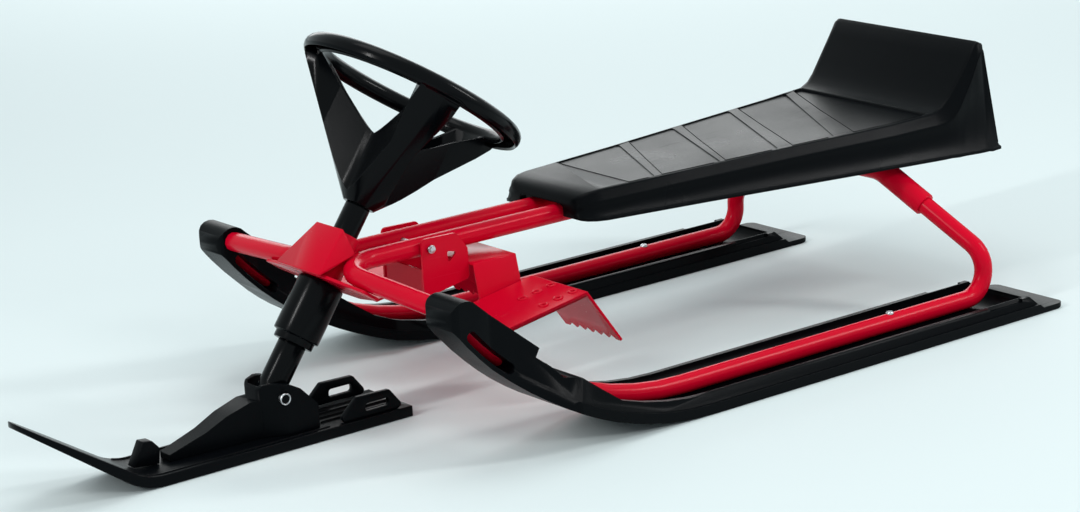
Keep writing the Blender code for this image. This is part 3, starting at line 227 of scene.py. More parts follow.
# Edges rounded in the mesh, where the solid's faces are plain enough; the rest only get soft normals
ROUNDED = {
    "brake_bridge": 0.0008,
    "deck_loop_left": 0.0010,
    "deck_loop_right": 0.0010,
    "fork_stem": 0.0008,
    "front_ski_board": 0.0008,
    "head_hood": 0.0010,
    "head_plate": 0.0003,
    "head_tube": 0.0006,
    "rail_tie": 0.0005,
    "rope_anchor": 0.0008,
    "seat_crossmember": 0.0006,
    "spring_housing": 0.0008,
    "steering_column": 0.0008,
}


def link(obj):
    """The object, now in the scene."""
    bpy.context.scene.collection.objects.link(obj)
    return obj


def camera():
    """The photograph's view, from its yaw, pitch and roll."""
    yaw, pitch, roll = CAMERA_YAW, CAMERA_PITCH, CAMERA_ROLL
    level = Vector((math.cos(yaw), math.sin(yaw), 0.0))
    ahead = Vector((-math.sin(yaw) * math.cos(pitch), math.cos(yaw) * math.cos(pitch), -math.sin(pitch)))
    upright = level.cross(ahead)
    right = level * math.cos(roll) + upright * math.sin(roll)
    up = upright * math.cos(roll) - level * math.sin(roll)
    data = bpy.data.cameras.new("camera")
    data.lens = LENS
    data.sensor_width = SENSOR
    data.clip_end = VIEW_DEPTH
    made = link(bpy.data.objects.new("camera", data))
    turn = Matrix((right, up, -ahead)).transposed().to_4x4()
    made.matrix_world = Matrix.Translation(CAMERA_PLACE) @ turn
    bpy.context.scene.camera = made


def lamps():
    """Soft boxes above and beside the sled."""
    for name, place, size, power, mirrored in LAMPS:
        data = bpy.data.lights.new(name, "AREA")
        data.shape = "RECTANGLE"
        data.size, data.size_y = size
        data.energy = power
        made = link(bpy.data.objects.new(name, data))
        aim = (LAMP_AIM - Vector(place)).to_track_quat("-Z", "Y")
        made.matrix_world = Matrix.Translation(place) @ aim.to_matrix().to_4x4()
        made.visible_glossy = mirrored


def backdrop():
    """A pale world: one colour lights the sled, and another one is seen."""
    world = bpy.data.worlds.new("studio")
    bpy.context.scene.world = world
    world.use_nodes = True
    tree = world.node_tree
    around = tree.nodes["Background"]
    around.inputs["Color"].default_value = WORLD_COLOR
    around.inputs["Strength"].default_value = WORLD_STRENGTH
    seen = tree.nodes.new("ShaderNodeBackground")
    seen.inputs["Color"].default_value = BACKDROP_COLOR
    seen.inputs["Strength"].default_value = BACKDROP_STRENGTH
    mix = tree.nodes.new("ShaderNodeMixShader")
    tree.links.new(seen_rays(tree), mix.inputs["Fac"])
    tree.links.new(around.outputs[0], mix.inputs[1])
    tree.links.new(seen.outputs[0], mix.inputs[2])
    tree.links.new(mix.outputs[0], tree.nodes["World Output"].inputs["Surface"])


def seen_rays(tree):
    """One for a ray that a viewer sees straight, mirrored or through glass, and zero for the rest."""
    path = tree.nodes.new("ShaderNodeLightPath")
    socket = path.outputs["Is Camera Ray"]
    for name in ("Is Glossy Ray", "Is Transmission Ray"):
        socket = math_node(tree, "MAXIMUM", socket, path.outputs[name])
    return socket


def floor():
    """A plain pale floor that keeps the sled's shadow."""
    bpy.ops.mesh.primitive_plane_add(size=FLOOR_SIZE, location=(0.0, 0.0, -FLOOR_DROP))
    made = bpy.context.object
    made.name = "floor"
    material = bpy.data.materials.new("studio_floor")
    material.use_nodes = True
    shader = material.node_tree.nodes["Principled BSDF"]
    shader.inputs["Base Color"].default_value = FLOOR_COLOR
    shader.inputs["Roughness"].default_value = FLOOR_ROUGHNESS
    shader.inputs["Specular IOR Level"].default_value = FLOOR_SPECULAR
    made.data.materials.append(material)


def feed(tree, socket, value):
    """Give a socket its value: a link from another socket, or a plain number or colour."""
    if isinstance(value, bpy.types.NodeSocket):
        tree.links.new(value, socket)
    else:
        socket.default_value = value


def math_node(tree, operation, first, second):
    """A Math node on two values, each a number or a socket."""
    node = tree.nodes.new("ShaderNodeMath")
    node.operation = operation
    feed(tree, node.inputs[0], first)
    feed(tree, node.inputs[1], second)
    return node.outputs[0]


def noise(tree, vector, scale, detail):
    """A Noise Texture's value; scale is a number or a socket."""
    texture = tree.nodes.new("ShaderNodeTexNoise")
    texture.inputs["Detail"].default_value = detail
    tree.links.new(vector, texture.inputs["Vector"])
    feed(tree, texture.inputs["Scale"], scale)
    return texture.outputs["Fac"]


def spread(tree, value, ends, reach=(0.3, 0.7)):
    """A value's reach stretched over two ends, each a number or a socket."""
    ramp = tree.nodes.new("ShaderNodeMapRange")
    ramp.inputs["From Min"].default_value, ramp.inputs["From Max"].default_value = reach
    tree.links.new(value, ramp.inputs["Value"])
    for label, end in zip(("To Min", "To Max"), ends):
        feed(tree, ramp.inputs[label], end)
    return ramp.outputs["Result"]


def blended(tree, mask, low, high):
    """Two colours mixed by a mask, each a socket or a colour with alpha."""
    mix = tree.nodes.new("ShaderNodeMix")
    mix.data_type = "RGBA"
    tree.links.new(mask, mix.inputs["Factor"])
    feed(tree, mix.inputs["A"], low)
    feed(tree, mix.inputs["B"], high)
    return mix.outputs["Result"]


def node_group(name, inputs, outputs):
    """An empty shader group with named number inputs, and outputs given as name and socket type."""
    group = bpy.data.node_groups.new(name, "ShaderNodeTree")
    for label, value in inputs:
        socket = group.interface.new_socket(label, in_out="INPUT", socket_type="NodeSocketFloat")
        socket.default_value = value
    for label, kind in outputs:
        group.interface.new_socket(label, in_out="OUTPUT", socket_type=kind)
    return group, group.nodes.new("NodeGroupInput"), group.nodes.new("NodeGroupOutput")


def surface_group():
    """Grain of a surface: fine relief, and patches where its gloss is a little lower or higher."""
    inputs = (
        ("Grain Scale", 900.0), ("Patch Scale", 9.0),
        ("Low Roughness", 0.3), ("High Roughness", 0.45),
    )
    outputs = (("Relief", "NodeSocketFloat"), ("Roughness", "NodeSocketFloat"))
    group, start, end = node_group("surface_grain", inputs, outputs)
    place = group.nodes.new("ShaderNodeTexCoord").outputs["Object"]
    grain = noise(group, place, start.outputs["Grain Scale"], GRAIN_DETAIL)
    patch = noise(group, place, start.outputs["Patch Scale"], PATCH_DETAIL)
    rough = spread(group, patch, (start.outputs["Low Roughness"], start.outputs["High Roughness"]))
    group.links.new(grain, end.inputs["Relief"])
    group.links.new(rough, end.inputs["Roughness"])
    return group


def edge_group():
    """Rounded edges: the softened normal, and a broken mask of edges that take their own colour: wear, and
    on the black plastics a painted edge highlight.
    """
    inputs = (("Radius", 0.0008), ("Wear And Sheen", 0.5))
    outputs = (("Normal", "NodeSocketVector"), ("Mask", "NodeSocketFloat"))
    group, start, end = node_group("edge_wear_and_sheen", inputs, outputs)
    soft = group.nodes.new("ShaderNodeBevel")
    soft.samples = EDGE_SAMPLES
    group.links.new(start.outputs["Radius"], soft.inputs["Radius"])
    flat = group.nodes.new("ShaderNodeNewGeometry").outputs["Normal"]
    match = group.nodes.new("ShaderNodeVectorMath")
    match.operation = "DOT_PRODUCT"
    group.links.new(soft.outputs["Normal"], match.inputs[0])
    group.links.new(flat, match.inputs[1])
    edge = spread(group, match.outputs["Value"], (1.0, 0.0), EDGE_REACH)
    place = group.nodes.new("ShaderNodeTexCoord").outputs["Object"]
    breaks = spread(group, noise(group, place, WEAR_AND_SHEEN_SCALE, WEAR_AND_SHEEN_DETAIL), (0.0, 1.0), WEAR_AND_SHEEN_REACH)
    worn_and_sheen = math_node(group, "MULTIPLY", edge, breaks)
    group.links.new(math_node(group, "MULTIPLY", worn_and_sheen, start.outputs["Wear And Sheen"]), end.inputs["Mask"])
    group.links.new(soft.outputs["Normal"], end.inputs["Normal"])
    return group


def scuff_group():
    """Fine scratches in dull handled patches, as a mask."""
    group, start, end = node_group("scuffs", (("Amount", 0.5),), (("Mask", "NodeSocketFloat"),))
    place = group.nodes.new("ShaderNodeTexCoord").outputs["Object"]
    stretch = group.nodes.new("ShaderNodeMapping")
    stretch.inputs["Scale"].default_value = SCRATCH_STRETCH
    stretch.inputs["Rotation"].default_value = SCRATCH_TURN
    group.links.new(place, stretch.inputs["Vector"])
    scratch = noise(group, stretch.outputs["Vector"], 1.0, PATCH_DETAIL)
    lines = spread(group, scratch, (0.0, 1.0), SCRATCH_REACH)
    patches = spread(group, noise(group, place, HANDLED_SCALE, PATCH_DETAIL), (0.0, 1.0), HANDLED_REACH)
    marks = math_node(group, "MULTIPLY", lines, patches)
    group.links.new(math_node(group, "MULTIPLY", marks, start.outputs["Amount"]), end.inputs["Mask"])
    return group


SURFACE = surface_group()
EDGES = edge_group()
SCUFFS = scuff_group()


def placed_group(tree, group, values):
    """A shader group in a material, with the material's own values."""
    node = tree.nodes.new("ShaderNodeGroup")
    node.node_tree = group
    for label, value in values.items():
        node.inputs[label].default_value = value
    return node


def finish(name, color, worn_and_sheen, metallic, specular, roughness, grain, patch, relief, edge, wear_and_sheen, scuffs):
    """A Principled material with the surface group's grain and gloss, soft edges, an edge colour for wear
    that on the black plastics is also a painted highlight, and scuffs.

    color, and the edge colour for rubbed edges, which on the black plastics is also a painted highlight,
    are linear; roughness is low and high; grain and patch are noise scales; relief is the bump's strength,
    and edge the radius of its soft edges.
    """
    material = bpy.data.materials.new(name)
    material.use_nodes = True
    tree = material.node_tree
    shader = tree.nodes["Principled BSDF"]
    shader.inputs["Metallic"].default_value = metallic
    shader.inputs["Specular IOR Level"].default_value = specular
    low, high = roughness
    values = {"Grain Scale": grain, "Patch Scale": patch, "Low Roughness": low, "High Roughness": high}
    surface = placed_group(tree, SURFACE, values)
    edges = placed_group(tree, EDGES, {"Radius": edge, "Wear And Sheen": wear_and_sheen})
    marks = placed_group(tree, SCUFFS, {"Amount": scuffs})

    place = tree.nodes.new("ShaderNodeTexCoord").outputs["Object"]
    drift = spread(tree, noise(tree, place, patch * DRIFT_SCALE, PATCH_DETAIL), (0.0, 1.0))
    deep = [channel * DEEP_SHARE for channel in color]
    base = blended(tree, drift, (*deep, 1.0), (*color, 1.0))
    # Edges take their own colour: wear, and on the black plastics a painted highlight along the edge
    base = blended(tree, edges.outputs["Mask"], base, (*worn_and_sheen, 1.0))
    tree.links.new(base, shader.inputs["Base Color"])

    dulled = math_node(tree, "MULTIPLY", marks.outputs["Mask"], SCUFF_ROUGHNESS)
    rough = math_node(tree, "ADD", surface.outputs["Roughness"], dulled)
    tree.links.new(rough, shader.inputs["Roughness"])
    bump = tree.nodes.new("ShaderNodeBump")
    bump.inputs["Strength"].default_value = relief
    bump.inputs["Distance"].default_value = RELIEF_DEPTH
    tree.links.new(surface.outputs["Relief"], bump.inputs["Height"])
    tree.links.new(edges.outputs["Normal"], bump.inputs["Normal"])
    tree.links.new(bump.outputs["Normal"], shader.inputs["Normal"])
    return material


# The lighter edge colour here is partly wear and partly a painted highlight along the edges
BLACK_PLASTIC = finish(
    "black_plastic", color=(0.0014, 0.0020, 0.0028), worn_and_sheen=(0.026, 0.028, 0.030),
    metallic=0.0, specular=0.055, roughness=(0.26, 0.38), grain=1500.0, patch=8.0,
    relief=0.30, edge=0.0010, wear_and_sheen=0.35, scuffs=0.5,
)
GLOSS_PLASTIC = finish(
    "steering_plastic", color=(0.0012, 0.0016, 0.0022), worn_and_sheen=(0.020, 0.022, 0.024),
    metallic=0.0, specular=0.09, roughness=(0.14, 0.22), grain=700.0, patch=7.0,
    relief=0.05, edge=0.0010, wear_and_sheen=0.20, scuffs=0.4,
)
RED_PAINT = finish(
    "red_paint", color=(0.680, 0.0015, 0.022), worn_and_sheen=(0.560, 0.010, 0.032),
    metallic=0.0, specular=0.08, roughness=(0.16, 0.26), grain=240.0, patch=6.0,
    relief=0.10, edge=0.0007, wear_and_sheen=0.35, scuffs=0.4,
)
ZINC_STEEL = finish(
    "zinc_steel", color=(0.64, 0.65, 0.67), worn_and_sheen=(0.80, 0.80, 0.80),
    metallic=1.0, specular=0.5, roughness=(0.22, 0.40), grain=900.0, patch=60.0,
    relief=0.15, edge=0.0003, wear_and_sheen=0.4, scuffs=0.6,
)
# Near-black matte for painted shade: the thin dark lines at the edges of the seat's sunk treads
SHADE_LINE_BLACK = finish(
    "shade_line_black", color=(0.0010, 0.0012, 0.0014), worn_and_sheen=(0.0010, 0.0012, 0.0014),
    metallic=0.0, specular=0.02, roughness=(0.75, 0.9), grain=900.0, patch=9.0,
    relief=0.1, edge=0.0002, wear_and_sheen=0.0, scuffs=0.0,
)
FINISHES = {"black_plastic": BLACK_PLASTIC, "red_paint": RED_PAINT, "zinc_steel": ZINC_STEEL}
GLOSSY_NODES = ("steering_wheel", "steering_column", "spring_housing", "fork_stem")
SLOTS = {part["node"]: part["material_slot"] for part in frame["record"]["subparts"]}


def body_of(node):
    """The moving body that a CAD node belongs to."""
    return frame["nodes"][node]["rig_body"]


def top_point(node, x, y):
    """The highest place of a CAD node at x and y."""
    bm = bmesh.new()
    bm.from_mesh(frame["nodes"][node].data)
    place = BVHTree.FromBMesh(bm).ray_cast(Vector((x, y, LOOK_DOWN_FROM)), Vector((0.0, 0.0, -1.0)))[0]
    bm.free()
    if place is None:
        raise ValueError(f"{node} has nothing at x {x}, y {y}")
    return place


def mesh_object(bm, name):
    """An object with the mesh that bm holds; bm is freed."""
    mesh = bpy.data.meshes.new(name)
    bm.to_mesh(mesh)
    bm.free()
    return link(bpy.data.objects.new(name, mesh))


def welded_skin(node):
    """A CAD node's triangles as one joined skin, with its flat faces whole again."""
    bm = bmesh.new()
    bm.from_mesh(frame["nodes"][node].data)
    bmesh.ops.remove_doubles(bm, verts=bm.verts, dist=JOIN_DISTANCE)
    bmesh.ops.dissolve_limit(bm, angle_limit=math.radians(FLAT_ANGLE), verts=bm.verts, edges=bm.edges)
    return mesh_object(bm, node + "_skin")


def shade(mesh, crease):
    """Smooth shading, with edges sharper than crease degrees left sharp."""
    mesh.shade_smooth()
    mesh.set_sharp_from_angle(angle=math.radians(crease))


def settle(obj, name, material):
    """The object with its modifiers made real, at the origin, in one material."""
    bpy.context.view_layer.update()
    evaluated = obj.evaluated_get(bpy.context.evaluated_depsgraph_get())
    mesh = bpy.data.meshes.new_from_object(evaluated)
    mesh.transform(obj.matrix_world)
    bpy.data.objects.remove(obj, do_unlink=True)
    mesh.materials.clear()
    mesh.materials.append(material)
    mesh.name = name
    return link(bpy.data.objects.new(name, mesh))


def round_edges(obj, width):
    """A Bevel modifier for narrow rounded edges."""
    bevel = obj.modifiers.new("rounded", "BEVEL")
    bevel.width = width
    bevel.segments = ROUND_SEGMENTS
    bevel.limit_method = "ANGLE"
    bevel.angle_limit = math.radians(ROUND_ANGLE)
    bevel.miter_outer = "MITER_ARC"


def subtract(obj, cutter):
    """A Boolean modifier that cuts one object out of another."""
    cut = obj.modifiers.new("cut", "BOOLEAN")
    cut.operation = "DIFFERENCE"
    cut.solver = "EXACT"
    cut.object = cutter


def slit_cutter(side, ski):
    """A bar with round ends that stands in one ski's tail."""
    low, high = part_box(ski)
    y = (low.y + high.y) / 2 + side * SLIT_OUT
    half = SLIT_WIDTH / 2
    points = []
    for x, turn in ((SLIT_X[0], math.pi / 2), (SLIT_X[1], -math.pi / 2)):
        for step in range(SLIT_END_STEPS + 1):
            angle = turn + math.pi * step / SLIT_END_STEPS
            points.append((x + half * math.cos(angle), y + half * math.sin(angle)))
    top = top_point(ski, sum(SLIT_X) / 2, y).z
    bm = bmesh.new()
    foot = [bm.verts.new((*point, top - SLIT_DEPTH)) for point in points]
    grown = bmesh.ops.extrude_face_region(bm, geom=[bm.faces.new(foot)])["geom"]
    moved = [item for item in grown if isinstance(item, bmesh.types.BMVert)]
    bmesh.ops.translate(bm, vec=(0.0, 0.0, 2 * SLIT_DEPTH), verts=moved)
    bmesh.ops.recalc_face_normals(bm, faces=bm.faces)
    return mesh_object(bm, "slit")


def dress_nodes():
    """Each CAD node is shown by a smooth-shaded skin in its slot's finish."""
    for node, slot in SLOTS.items():
        skin = welded_skin(node)
        cutters = []
        if node in ROUNDED:
            round_edges(skin, ROUNDED[node])
        if node.startswith("rear_ski"):
            cutters = [slit_cutter(side, node) for side in (-1, 1)]
        for cutter in cutters:
            subtract(skin, cutter)
        material = GLOSS_PLASTIC if node in GLOSSY_NODES else FINISHES[slot]
        skin = settle(skin, node + "_skin", material)
        for cutter in cutters:
            bpy.data.objects.remove(cutter, do_unlink=True)
        shade(skin.data, SKIN_CREASE)
        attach(skin, body_of(node))
        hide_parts(node)


def lathe(name, profile, sides):
    """A template turned about Z from (radius, height) pairs that end on the axis or meet again."""
    bm = bmesh.new()
    points = [bm.verts.new((radius, 0.0, height)) for radius, height in profile]
    edges = [bm.edges.new(pair) for pair in zip(points, points[1:])]
    bmesh.ops.spin(
        bm, geom=points + edges, cent=(0, 0, 0), axis=(0, 0, 1),
        angle=2 * math.pi, steps=sides, use_merge=True,
    )
    bmesh.ops.remove_doubles(bm, verts=bm.verts, dist=SPIN_JOIN_DISTANCE)
    bmesh.ops.recalc_face_normals(bm, faces=bm.faces)
    return mesh_object(bm, name)


def dome(radius, height, steps):
    """Profile points of a low dome, from its top down to its edge."""
    angles = [math.pi / 2 * step / steps for step in range(steps + 1)]
    return [(radius * math.sin(angle), height * math.cos(angle)) for angle in angles]


def ring(name, middle, half, height, sides):
    """A half-round ring, flat below; middle is its radius, and half is half its width."""
    angles = [math.pi * step / RING_STEPS for step in range(RING_STEPS + 1)]
    profile = [(middle + half * math.cos(angle), height * math.sin(angle)) for angle in angles]
    return lathe(name, profile + [profile[0]], sides)


def pan_screw():
    """A pan head with a cross recess."""
    profile = dome(SCREW_RADIUS, SCREW_HEIGHT, SCREW_DOME_STEPS)
    head = lathe("pan_screw", profile + [(SCREW_RADIUS, -SCREW_SINK), (0.0, -SCREW_SINK)], SCREW_SIDES)
    recess = bmesh.new()
    for size in ((RECESS_WIDTH, RECESS_LENGTH), (RECESS_LENGTH, RECESS_WIDTH)):
        made = bmesh.ops.create_cube(recess, size=1.0)
        bmesh.ops.scale(recess, vec=(*size, SCREW_HEIGHT), verts=made["verts"])
        bmesh.ops.translate(recess, vec=(0.0, 0.0, SCREW_HEIGHT * RECESS_LIFT), verts=made["verts"])
    cutter = mesh_object(recess, "recess")
    subtract(head, cutter)
    head.modifiers["cut"].use_self = True
    made = settle(head, "pan_screw_template", ZINC_STEEL)
    bpy.data.objects.remove(cutter, do_unlink=True)
    return made


def hex_head(radius, height):
    """A hexagon head with a chamfered top on a thin washer."""
    bm = bmesh.new()
    middle = WASHER_HEIGHT + height / 2
    bmesh.ops.create_cone(
        bm, cap_ends=True, segments=6, radius1=radius, radius2=radius, depth=height,
        matrix=Matrix.Translation((0.0, 0.0, middle)),
    )
    top = [edge for edge in bm.edges if all(vert.co.z > middle for vert in edge.verts)]
    bmesh.ops.bevel(bm, geom=top, offset=height * HEAD_CHAMFER, segments=2, affect="EDGES", profile=0.5)
    bmesh.ops.create_cone(
        bm, cap_ends=True, segments=WASHER_SIDES, depth=WASHER_HEIGHT,
        radius1=WASHER_RADIUS, radius2=WASHER_RADIUS * WASHER_TAPER,
        matrix=Matrix.Translation((0.0, 0.0, WASHER_HEIGHT / 2)),
    )
    return mesh_object(bm, "hex_head")


def pin_hollow_shade():
    """A low dark dome inside the pivot pin's ring: painted shade that stands for the pin's hollow end."""
    profile = dome(PIVOT_RING_RADIUS - HOLLOW_SHADE_INSET, HOLLOW_SHADE_HEIGHT, HOLLOW_SHADE_STEPS)
    return lathe("hollow", profile + [(0.0, 0.0)], HOLLOW_SHADE_SIDES)


def geometry_tree(name, inputs):
    """A Geometry Nodes tree from geometry to geometry, with inputs given as name, type and default."""
    tree = bpy.data.node_groups.new(name, "GeometryNodeTree")
    tree.interface.new_socket("Geometry", in_out="INPUT", socket_type="NodeSocketGeometry")
    tree.interface.new_socket("Material", in_out="INPUT", socket_type="NodeSocketMaterial")
    for label, kind, value in inputs:
        socket = tree.interface.new_socket(label, in_out="INPUT", socket_type=kind)
        socket.default_value = value
    tree.interface.new_socket("Geometry", in_out="OUTPUT", socket_type="NodeSocketGeometry")
    return tree, tree.nodes.new("NodeGroupInput"), tree.nodes.new("NodeGroupOutput")


def finish_tree(tree, start, geometry, end):
    """Realize Instances and Set Material at a tree's end."""
    real = tree.nodes.new("GeometryNodeRealizeInstances")
    paint = tree.nodes.new("GeometryNodeSetMaterial")
    tree.links.new(geometry, real.inputs["Geometry"])
    tree.links.new(real.outputs["Geometry"], paint.inputs["Geometry"])
    tree.links.new(start.outputs["Material"], paint.inputs["Material"])
    tree.links.new(paint.outputs["Geometry"], end.inputs["Geometry"])


def fastener_tree():
    """Geometry Nodes: a template on every point, its Z along the point's axis attribute."""
    tree, start, end = geometry_tree("set_on_points", (
        ("Template", "NodeSocketObject", None),
        ("Size", "NodeSocketFloat", 1.0),
        ("Turn", "NodeSocketFloat", FASTENER_TURN),
    ))
    nodes, links = tree.nodes, tree.links
    shape = nodes.new("GeometryNodeObjectInfo")
    links.new(start.outputs["Template"], shape.inputs["Object"])
    axis = nodes.new("GeometryNodeInputNamedAttribute")
    axis.data_type = "FLOAT_VECTOR"
    axis.inputs["Name"].default_value = "axis"
    aim = nodes.new("FunctionNodeAlignRotationToVector")
    aim.axis = "Z"
    links.new(axis.outputs["Attribute"], aim.inputs["Vector"])
    twist = nodes.new("FunctionNodeRotateRotation")
    twist.rotation_space = "LOCAL"
    links.new(aim.outputs["Rotation"], twist.inputs["Rotation"])
    spin = nodes.new("FunctionNodeAxisAngleToRotation")
    spin.inputs["Axis"].default_value = (0.0, 0.0, 1.0)
    # For numbers, the random node's highest value is input 3 and its result is output 1
    chance = nodes.new("FunctionNodeRandomValue")
    chance.data_type = "FLOAT"
    chance.inputs["Seed"].default_value = FASTENER_SEED
    links.new(start.outputs["Turn"], chance.inputs[3])
    links.new(chance.outputs[1], spin.inputs["Angle"])
    links.new(spin.outputs["Rotation"], twist.inputs["Rotate By"])
    place = nodes.new("GeometryNodeInstanceOnPoints")
    links.new(start.outputs["Geometry"], place.inputs["Points"])
    links.new(shape.outputs["Geometry"], place.inputs["Instance"])
    links.new(twist.outputs["Rotation"], place.inputs["Rotation"])
    links.new(start.outputs["Size"], place.inputs["Scale"])
    finish_tree(tree, start, place.outputs["Instances"], end)
    return tree


def weld_tree():
    """Geometry Nodes: overlapping flattened ripples along a path."""
    tree, start, end = geometry_tree("weld_bead", (
        ("Radius", "NodeSocketFloat", BEAD_RADIUS),
        ("Pitch", "NodeSocketFloat", BEAD_PITCH),
    ))
    nodes, links = tree.nodes, tree.links
    points = nodes.new("GeometryNodeCurveToPoints")
    points.mode = "LENGTH"
    links.new(start.outputs["Geometry"], points.inputs["Curve"])
    links.new(start.outputs["Pitch"], points.inputs["Length"])
    ripple = nodes.new("GeometryNodeMeshUVSphere")
    ripple.inputs["Segments"].default_value = RIPPLE_SEGMENTS
    ripple.inputs["Rings"].default_value = RIPPLE_RINGS
    links.new(start.outputs["Radius"], ripple.inputs["Radius"])
    # For vectors, the random node's least and most are inputs 0 and 1, and its result is output 0
    chance = nodes.new("FunctionNodeRandomValue")
    chance.data_type = "FLOAT_VECTOR"
    chance.inputs[0].default_value = RIPPLE_LEAST
    chance.inputs[1].default_value = RIPPLE_MOST
    chance.inputs["Seed"].default_value = RIPPLE_SEED
    place = nodes.new("GeometryNodeInstanceOnPoints")
    links.new(points.outputs["Points"], place.inputs["Points"])
    links.new(points.outputs["Rotation"], place.inputs["Rotation"])
    links.new(ripple.outputs["Mesh"], place.inputs["Instance"])
    links.new(chance.outputs[0], place.inputs["Scale"])
    finish_tree(tree, start, place.outputs["Instances"], end)
    return tree


def line_tree():
    """Geometry Nodes: a thin round line along a path."""
    tree, start, end = geometry_tree("round_line", (("Radius", "NodeSocketFloat", TREAD_LINE_RADIUS),))
    around = tree.nodes.new("GeometryNodeCurvePrimitiveCircle")
    around.inputs["Resolution"].default_value = LINE_SIDES
    tree.links.new(start.outputs["Radius"], around.inputs["Radius"])
    sweep = tree.nodes.new("GeometryNodeCurveToMesh")
    sweep.inputs["Fill Caps"].default_value = True
    tree.links.new(start.outputs["Geometry"], sweep.inputs["Curve"])
    tree.links.new(around.outputs["Curve"], sweep.inputs["Profile Curve"])
    finish_tree(tree, start, sweep.outputs["Mesh"], end)
    return tree


FASTENER_TREE = fastener_tree()
WELD_TREE = weld_tree()
LINE_TREE = line_tree()


def with_nodes(obj, tree, values, name):
    """The object's Geometry Nodes result as a plain mesh."""
    modifier = obj.modifiers.new("nodes", "NODES")
    modifier.node_group = tree
    for item in tree.interface.items_tree:
        if item.in_out == "INPUT" and item.name in values:
            modifier[item.identifier] = values[item.name]
    return settle(obj, name, values["Material"])


def dot_cloud(rows):
    """A mesh of single points, each with an axis."""
    mesh = bpy.data.meshes.new("places")
    mesh.from_pydata([tuple(place) for place, axis in rows], [], [])
    attribute = mesh.attributes.new("axis", "FLOAT_VECTOR", "POINT")
    for item, (place, axis) in zip(attribute.data, rows):
        item.vector = axis
    return link(bpy.data.objects.new("places", mesh))


def fasteners(name, template, rows, slot, body):
    """One mesh of template copies in the slot's finish, each given as its place and axis."""
    values = {"Template": template, "Material": FINISHES[slot], "Size": 1.0, "Turn": FASTENER_TURN}
    made = with_nodes(dot_cloud(rows), FASTENER_TREE, values, name)
    shade(made.data, FASTENER_CREASE)
    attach(made, body)


def path_curve(name, paths):
    """A curve of straight steps, from lists of points and whether each is closed."""
    curve = bpy.data.curves.new(name, "CURVE")
    curve.dimensions = "3D"
    for points, closed in paths:
        spline = curve.splines.new("POLY")
        spline.points.add(len(points) - 1)
        spline.use_cyclic_u = closed
        for place, point in zip(spline.points, points):
            place.co = (*point, 1.0)
    return link(bpy.data.objects.new(name, curve))


def weld(name, paths, body, radius=BEAD_RADIUS):
    """Painted weld beads along paths, each a list of points and whether it is closed."""
    values = {"Material": RED_PAINT, "Radius": radius, "Pitch": BEAD_PITCH}
    made = with_nodes(path_curve(name, paths), WELD_TREE, values, name)
    shade(made.data, BEAD_CREASE)
    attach(made, body)


def bead_and_shade_lines(name, paths, body, radius, material):
    """Thin round lines along paths given as weld's are: raised beads on the black plastic, and dark lines
    of painted shade on the seat's treads.
    """
    values = {"Material": material, "Radius": radius}
    made = with_nodes(path_curve(name, paths), LINE_TREE, values, name)
    shade(made.data, BEAD_CREASE)
    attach(made, body)


def ski_screws():
    """A pan screw through each tube into its ski."""
    template = pan_screw()
    for side in ("left", "right"):
        ski = "rear_ski_" + side
        low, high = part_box(ski)
        rows = [(top_point("side_tube_" + side, SKI_SCREW_X, (low.y + high.y) / 2), (0, 0, 1))]
        fasteners("ski_screw_" + side, template, rows, "zinc_steel", body_of(ski))
    bpy.data.objects.remove(template, do_unlink=True)


def end_rows(node):
    """Place and axis of both ends of a bolt that lies across the sled."""
    low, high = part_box(node)
    x, z = (low.x + high.x) / 2, (low.z + high.z) / 2
    return [((x, low.y, z), (0, -1, 0)), ((x, high.y, z), (0, 1, 0))]


def bolts():
    """A ring at the pivot pin's ends with a dark dome of painted shade for its hollow, and hexagon heads
    on the brake's bolt.
    """
    half = PIVOT_RING_WIDTH / 2
    pin_ring = ring("ring", PIVOT_RING_RADIUS - half, half, PIVOT_RING_HEIGHT, PIVOT_RING_SIDES)
    brake_head = hex_head(BRAKE_HEAD_RADIUS, BRAKE_HEAD_HEIGHT)
    templates = (
        # node, piece, template, slot
        ("pivot_pin", "pin_rings", pin_ring, "zinc_steel"),
        ("pivot_pin", "pin_hollows", pin_hollow_shade(), "black_plastic"),
        ("brake_bolt", "brake_bolt_heads", brake_head, "zinc_steel"),
    )
    for node, name, template, slot in templates:
        fasteners(name, template, end_rows(node), slot, body_of(node))
        bpy.data.objects.remove(template, do_unlink=True)


def hole_collars():
    """The pressed lips round the holes in the foot plates."""
    half = (COLLAR_RADIUS - PEDAL_HOLE_RADIUS) / 2
    template = ring("hole_collar", PEDAL_HOLE_RADIUS + half, half, COLLAR_HEIGHT, COLLAR_SIDES)
    for side, pedal in ((-1, "brake_pedal_left"), (1, "brake_pedal_right")):
        rows = []
        for column in PEDAL_HOLE_COLUMNS:
            for row in PEDAL_HOLE_ROWS:
                x, y = PEDAL_REAR_X - column, side * (PEDAL_INNER_Y + row)
                front = top_point(pedal, x - COLLAR_RADIUS, y)
                rear = top_point(pedal, x + COLLAR_RADIUS, y)
                along = (rear - front).normalized()
                rows.append(((front + rear) / 2, Vector((-along.z, 0.0, along.x))))
        fasteners(pedal + "_collars", template, rows, "red_paint", body_of(pedal))
    bpy.data.objects.remove(template, do_unlink=True)


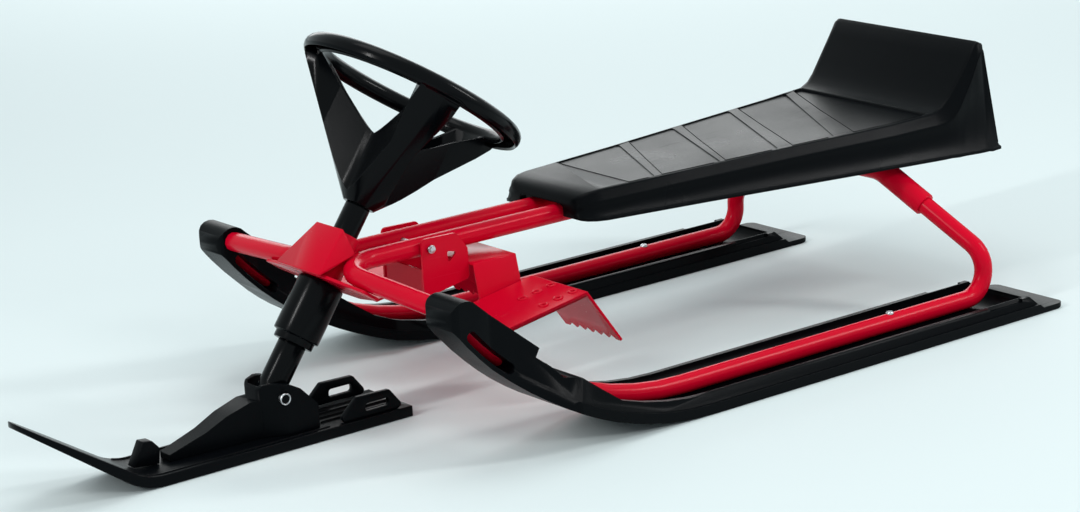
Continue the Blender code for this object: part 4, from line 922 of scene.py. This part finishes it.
def tread_lines():
    """A thin dark line of painted shade along the front and both sides of each tread of the seat, where
    the sunk tread's edge falls in shade.
    """
    paths = []
    for corners in TREAD_CORNERS:
        right_front, left_front, left_rear, right_rear = (Vector(corner) for corner in corners)
        middle = (right_front + left_front + left_rear + right_rear) / 4
        points = []
        for first, last in ((right_rear, right_front), (right_front, left_front), (left_front, left_rear)):
            count = max(2, round((last - first).length / TREAD_LINE_STEP))
            for step in range(count):
                place = first.lerp(last, step / count)
                place += (place - middle).normalized() * TREAD_LINE_OUT
                points.append(top_point("seat_shell", place.x, place.y))
        paths.append((points, False))
    bead_and_shade_lines("tread_lines", paths, body_of("seat_shell"), TREAD_LINE_RADIUS, SHADE_LINE_BLACK)


def board_beads():
    """A raised bead along each edge of the front ski's board."""
    low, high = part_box("front_ski_board")
    front, rear = BOARD_BEAD_X
    count = round((rear - front) / BOARD_BEAD_STEP)
    places = [front + (rear - front) * step / count for step in range(count + 1)]
    edges = (low.y + BOARD_BEAD_INSET, high.y - BOARD_BEAD_INSET)
    paths = [([top_point("front_ski_board", x, y) for x in places], False) for y in edges]
    bead_and_shade_lines("board_beads", paths, body_of("front_ski_board"), BOARD_BEAD_RADIUS, BLACK_PLASTIC)


def circle(middle, first, second, radius, steps):
    """Points of a circle about middle, in the plane of two unit directions."""
    points = []
    for step in range(steps):
        angle = 2 * math.pi * step / steps
        points.append(middle + first * (radius * math.cos(angle)) + second * (radius * math.sin(angle)))
    return points


def welds():
    """Beads round the head tube, where the rails meet the cross-member, and along the rail tie."""
    along, across = Vector((1.0, 0.0, 0.0)), Vector((0.0, 1.0, 0.0))
    middle = STEER_POINT + STEER_AXIS * (HEAD_PLATE_ALONG + HEAD_WELD_LIFT)
    points = circle(middle, STEER_DOWN, across, HEAD_TUBE_RADIUS, HEAD_WELD_STEPS)
    weld("head_weld", [(points, True)], body_of("head_tube"))

    x, z = CROSS_PLACE
    paths = []
    for y in (-RAIL_Y, RAIL_Y):
        middle = Vector((x, y, z + CROSS_RADIUS))
        paths.append((circle(middle, along, across, CROSS_WELD_REACH, CROSS_WELD_STEPS), True))
    weld("cross_member_welds", paths, body_of("seat_crossmember"))

    low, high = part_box("rail_tie")
    ends = (low.x + TIE_WELD_INSET, high.x - TIE_WELD_INSET)
    paths = [([(x, y, high.z - BEAD_RADIUS / 2) for x in ends], False) for y in (low.y, high.y)]
    weld("rail_tie_welds", paths, body_of("rail_tie"), TIE_BEAD_RADIUS)


camera()
lamps()
backdrop()
floor()
dress_nodes()
ski_screws()
bolts()
hole_collars()
tread_lines()
board_beads()
welds()

bpy.context.scene.view_settings.view_transform = "Standard"
